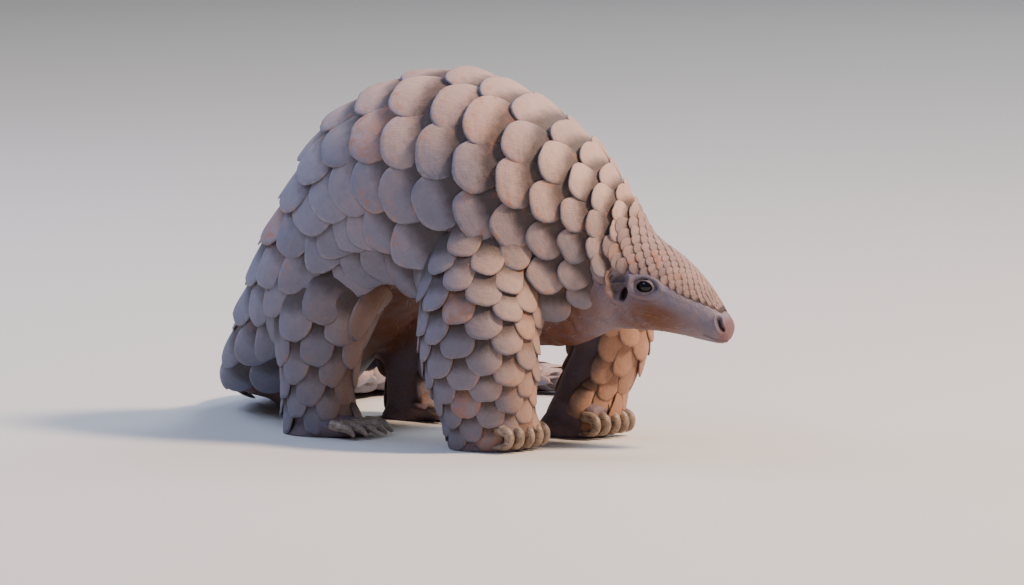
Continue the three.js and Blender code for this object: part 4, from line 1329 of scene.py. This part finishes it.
# %% Hide material
HIDE_PATCH, HIDE_SPOT, CREASE, PORE = 0.016, 0.0035, 0.0035, 0.0011  # m
HIDE_RECIPE = [
    ("place", "PLACE"),
    ("patches", "NOISE", "place", 1 / HIDE_PATCH, 4.0, 0.6),
    ("spots", "NOISE", "place", 1 / HIDE_SPOT, 4.0, 0.6),
    ("creases", "NOISE", "place", 1 / CREASE, 3.0, 0.5, 1.2),
    ("pores", "CELLS", "place", 1 / PORE),
    ("mottling", "SMOOTHSTEP", "patches", 0.35, 0.65),
    ("colour", "MIX", "mottling", "#6A687A", "#7C7079"),
    # Reddish soil on the cheeks and the throat, painted dark as the shade under the jaw.
    ("stain", "MULTIPLY_ADD", "spots", 0.4, "patches"),
    ("stain", "SMOOTHSTEP", "stain", 0.40, 0.85, 0.0, 0.45),
    ("stain", "ADD", "stain", 0.55),
    ("stain", "MULTIPLY", "stain", "soil"),
    ("colour", "MIX", "stain", "colour", "#5B3013"),
    ("colour", "MIX", "nose", "colour", "#785A5C"),
    ("colour", "MIX", "tan", "colour", "#80675F"),
    ("scurf", "SMOOTHSTEP", "spots", 0.45, 0.7, 0.0, 0.25),
    ("colour", "MIX", "scurf", "colour", "#6E5247"),
    # Painted shade in the grooves, the hollows of the ears and round the eyes.
    ("colour", "MIX", "dark", "colour", "#241815"),
    ("relief", "BUMP", "creases", 0.0005, 0.8),
    ("relief", "BUMP", "spots", 0.0004, 0.8, "relief"),
    ("relief", "BUMP", "pores", 0.00025, 0.8, "relief"),
]
hide_material = new_material("bare hide, creased", Roughness=0.58, Specular_IOR_Level=0.4,
                             Subsurface_Weight=0.12, Subsurface_Radius=(0.9, 0.35, 0.2),
                             Subsurface_Scale=0.003)
follow(hide_material, HIDE_RECIPE, attributes=("nose", "soil", "dark", "tan"))

# %% [markdown]
# Where each colour of the hide lies is kept with the mesh, one value for each vertex: pink at the nose, soil
# on the cheeks and the throat, darkened as the shade under the jaw, painted shade in the grooves and hollows
# and round the eyes, warm on the rims of the ears. They are spread a little, so no edge shows. The finished
# skin takes the place of all the flesh.

# %% Skin piece
FLESH = ["head", "neck", "forequarters", "back", "hindquarters", "rump", "tail_base", "tail_middle",
         "tail_tip", "foreleg_right", "foreleg_left", "hindleg_right", "hindleg_left", "ear_right",
         "ear_left"]
# The cheeks and the underside of the throat carry soil, painted dark as well, as the shade there.
cheek = hump(head_share - 0.180, 0.058) * smooth((np.abs(head_angle) - 1.50) / 0.40)
throat = smooth((head_share - 0.235) / 0.05) * smooth((np.abs(head_angle) - 1.45) / 0.6)
zones = {
    "nose": on_head * smooth((station("nosePad") + 0.018 - head_share) / 0.03),
    "soil": np.maximum(cheek, throat) * np.where(far < 0.010, 1.0, 0.4),
    "dark": dark,
    "tan": tan,
}
for zone, values in zones.items():
    values = spread_out(skin_mesh, values, 4 if zone in ("nose", "soil") else 1)
    skin_mesh.attributes.new(zone, "FLOAT", "POINT").data.foreach_set("value", values)
skin = make_object("skin", skin_mesh, hide_material)
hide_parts(*FLESH)
print("skin in place of", len(FLESH), "solids")

# %% [markdown]
# ## Eyes and claws
# The eye is a wet dark ball: nearly black inside, under a clear cornea, whose IOR is 1.376. It is nearly as
# smooth as glass, so it gives the eye one small sharp highlight. Iris and cornea could be two pieces, but
# both are so dark that one ball shows the same.

# %% Eyeballs
IRIS_GRAIN = 900.0  # to the metre: fibres about a millimetre wide
eye_wet = new_material("wet dark eye", Roughness=0.04, IOR=1.376, Specular_IOR_Level=0.5)
follow(eye_wet, [
    ("place", "PLACE"),
    ("iris", "NOISE", "place", IRIS_GRAIN, 3.0),
    ("colour", "MIX", "iris", "#06070A", "#11121A"),
])
for side in ("right", "left"):
    low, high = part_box("eye_" + side)
    ball = bmesh.new()
    bmesh.ops.create_uvsphere(ball, u_segments=48, v_segments=32, radius=EYE["radius"] * MM)
    bmesh.ops.translate(ball, verts=ball.verts, vec=(low + high) / 2)
    eyeball = make_object("eyeball_" + side, mesh_of(ball, "eyeball"), eye_wet)
    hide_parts("eye_" + side)

# %% [markdown]
# The claws are thick curved horns, greyish-brown. Digging polishes them a little, to a roughness of 0.45, so
# they have a soft shine, broken by dark scrapes along their length.

# %% Claw material
CLAW_MOTTLE = 0.004  # m
SCRAPES = (120.0, 1500.0, 900.0)  # to the metre: long along the claw and fine across it
claw_horn = new_material("claw keratin, scraped", Roughness=0.45)
follow(claw_horn, [
    ("place", "PLACE"),
    ("mottling", "NOISE", "place", 1 / CLAW_MOTTLE, 5.0),
    ("lengthways", "STRETCH", "place", SCRAPES),
    ("scrapes", "NOISE", "lengthways", 1.0, 3.0),
    ("mottling", "SMOOTHSTEP", "mottling", 0.35, 0.65),
    ("colour", "MIX", "mottling", "#7C6A5C", "#A08C79"),
    ("scraped", "SMOOTHSTEP", "scrapes", 0.5, 0.7),
    ("colour", "MIX", "scraped", "colour", "#5E4D42"),
    ("relief", "BUMP", "scrapes", 0.0004, 0.7),
])

# %% Claws
def claw_surface(leg, across, long):
    """The rod of one claw: a long hook on a forefoot, and short and straighter on a hind foot."""
    sole = SOLES[leg]
    if leg.startswith("fore"):
        root = 31 - 4 * (1 - long)
        curl = [(-7, 15.6), (0, 15.4), (4.2, 13.6), (5.6, 9.8), (3.8, 6), (-1, 4.4), (-4 - 14 * long, 3.4)]
        points = [sole + np.array([root + ahead, across, high]) for ahead, high in curl]
        sizes = [(3.4, 3.6), (3.4, 3.8), (3.3, 3.8), (3.1, 3.5), (2.7, 3.0), (2.0, 2.2), (0.7, 0.8)]
    else:
        tip = 36 + 18 * long
        points = [sole + np.array([ahead, across * wide, high]) for ahead, high, wide in
                  ((26, 9, 1), (36, 8.6, 1.05), ((36 + tip) / 2, 7.2, 1.1), (tip, 2.6, 1.12))]
        sizes = [(3.6, 3.8), (3.6, 3.6), (2.8, 2.8), (0.9, 0.9)]
    return rod_surface(points, sizes, LEFTWARD)


for leg in legs:
    kind, side = leg[:4] + "claw", leg.split("_")[1]
    for i, (across, long) in enumerate(FORECLAWS if leg.startswith("fore") else HINDCLAWS):
        grown = bmesh.new()
        drawn_out(grown, claw_surface(leg, across, long), around=20, rings=28)
        bmesh.ops.recalc_face_normals(grown, faces=grown.faces)
        horn_mesh = mesh_of(grown, "claw")
        piece = make_object(f"{kind}_horn_{side}_{i + 1}", horn_mesh, claw_horn)
        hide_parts(f"{kind}_{side}_{i + 1}")
print(sum(len(FORECLAWS if leg.startswith("fore") else HINDCLAWS) for leg in legs), "claws")

# %% [markdown]
# ## Bristles
# A few stiff pale hairs grow between the scales, and finer ones on the throat and the belly. A particle
# system could grow them, but its hairs are not a mesh. So each is a long thin cone, bent as it falls, and all
# are one piece made by an Array modifier, as the scales are. Hair is keratin too, smoother than horn at a
# roughness of 0.4, and shows as thin light lines.

# %% One bristle
bristle = bmesh.new()
bmesh.ops.create_cone(bristle, cap_ends=True, segments=4, radius1=1.0, radius2=0.12, depth=1.0)
bmesh.ops.translate(bristle, verts=bristle.verts, vec=(0, 0, 0.5))
upright = [e for e in bristle.edges if abs(e.verts[0].co.z - e.verts[1].co.z) > 0.5]
bmesh.ops.subdivide_edges(bristle, edges=upright, cuts=4, use_grid_fill=True)
bristle_mesh = mesh_of(bristle, "bristle")
one = places_of(bristle_mesh)
print("a bristle has", triangles_in(bristle_mesh), "triangles")

# %% Bristles
BRISTLES = [  # how many, shares, angles, lengths in mm, thickness in mm
    (150, (0.10, 0.30), (1.9, 3.0), (3, 7), 0.09),
    (160, (0.30, 0.62), (2.3, 3.1), (6, 12), 0.12),
    (90, (0.27, 0.60), (0.2, 2.2), (6, 10), 0.14),
]
skin_tree = search_tree(skin_mesh)
stood = []
for count, shares, angles, lengths, thick in BRISTLES:
    for _ in range(count):
        share, angle = draw.uniform(*shares), draw.uniform(*angles) * draw.choice((-1, 1))
        place, normal, _, _ = skin_tree.find_nearest(Vector(in_frame(body.point(share, angle))))
        back = Vector(unit(body.line(share + 0.01) - body.line(share)))
        back = (back - normal * back.dot(normal)).normalized()
        side = normal.cross(back)
        long = draw.uniform(*lengths)
        lean, sway = draw.uniform(0.55, 0.9), draw.uniform(-0.25, 0.25)
        x, y, z = one[:, 0] * thick, one[:, 1] * thick, one[:, 2]
        up = long * (z * (1 - lean) + 0.25 * z * (1 - z)) * 1.3
        away = np.outer(up, normal) + np.outer(long * lean * z ** 1.4 + y, back)
        away = away + np.outer(x + sway * long * z, side)
        stood.append(np.array(place) + away * MM)
bristles_mesh = with_modifier(bristle_mesh, "ARRAY", count=len(stood), use_relative_offset=False)
set_places(bristles_mesh, np.vstack(stood))

# %% Hair material
HAIR_SHADES = 0.006  # m
hair = new_material("pale stiff hair", Roughness=0.4)
follow(hair, [
    ("place", "PLACE"),
    ("shade", "NOISE", "place", 1 / HAIR_SHADES, 2.0),
    ("colour", "MIX", "shade", "#C7B59C", "#8E7358"),
])

# %% Map and piece of the bristles
corners = np.empty(len(bristles_mesh.loops), int)
bristles_mesh.loops.foreach_get("vertex_index", corners)
which = corners // len(one)
side = math.ceil(math.sqrt(len(stood)))
spots = np.stack([which % side, which // side], 1) + 0.5 + (one[corners % len(one), :2]) * 0.1
bristles_mesh.uv_layers.new(name="OFBake").data.foreach_set("uv", (spots / side).ravel())
make_object("bristles", bristles_mesh, hair)
print("bristles:", len(stood))
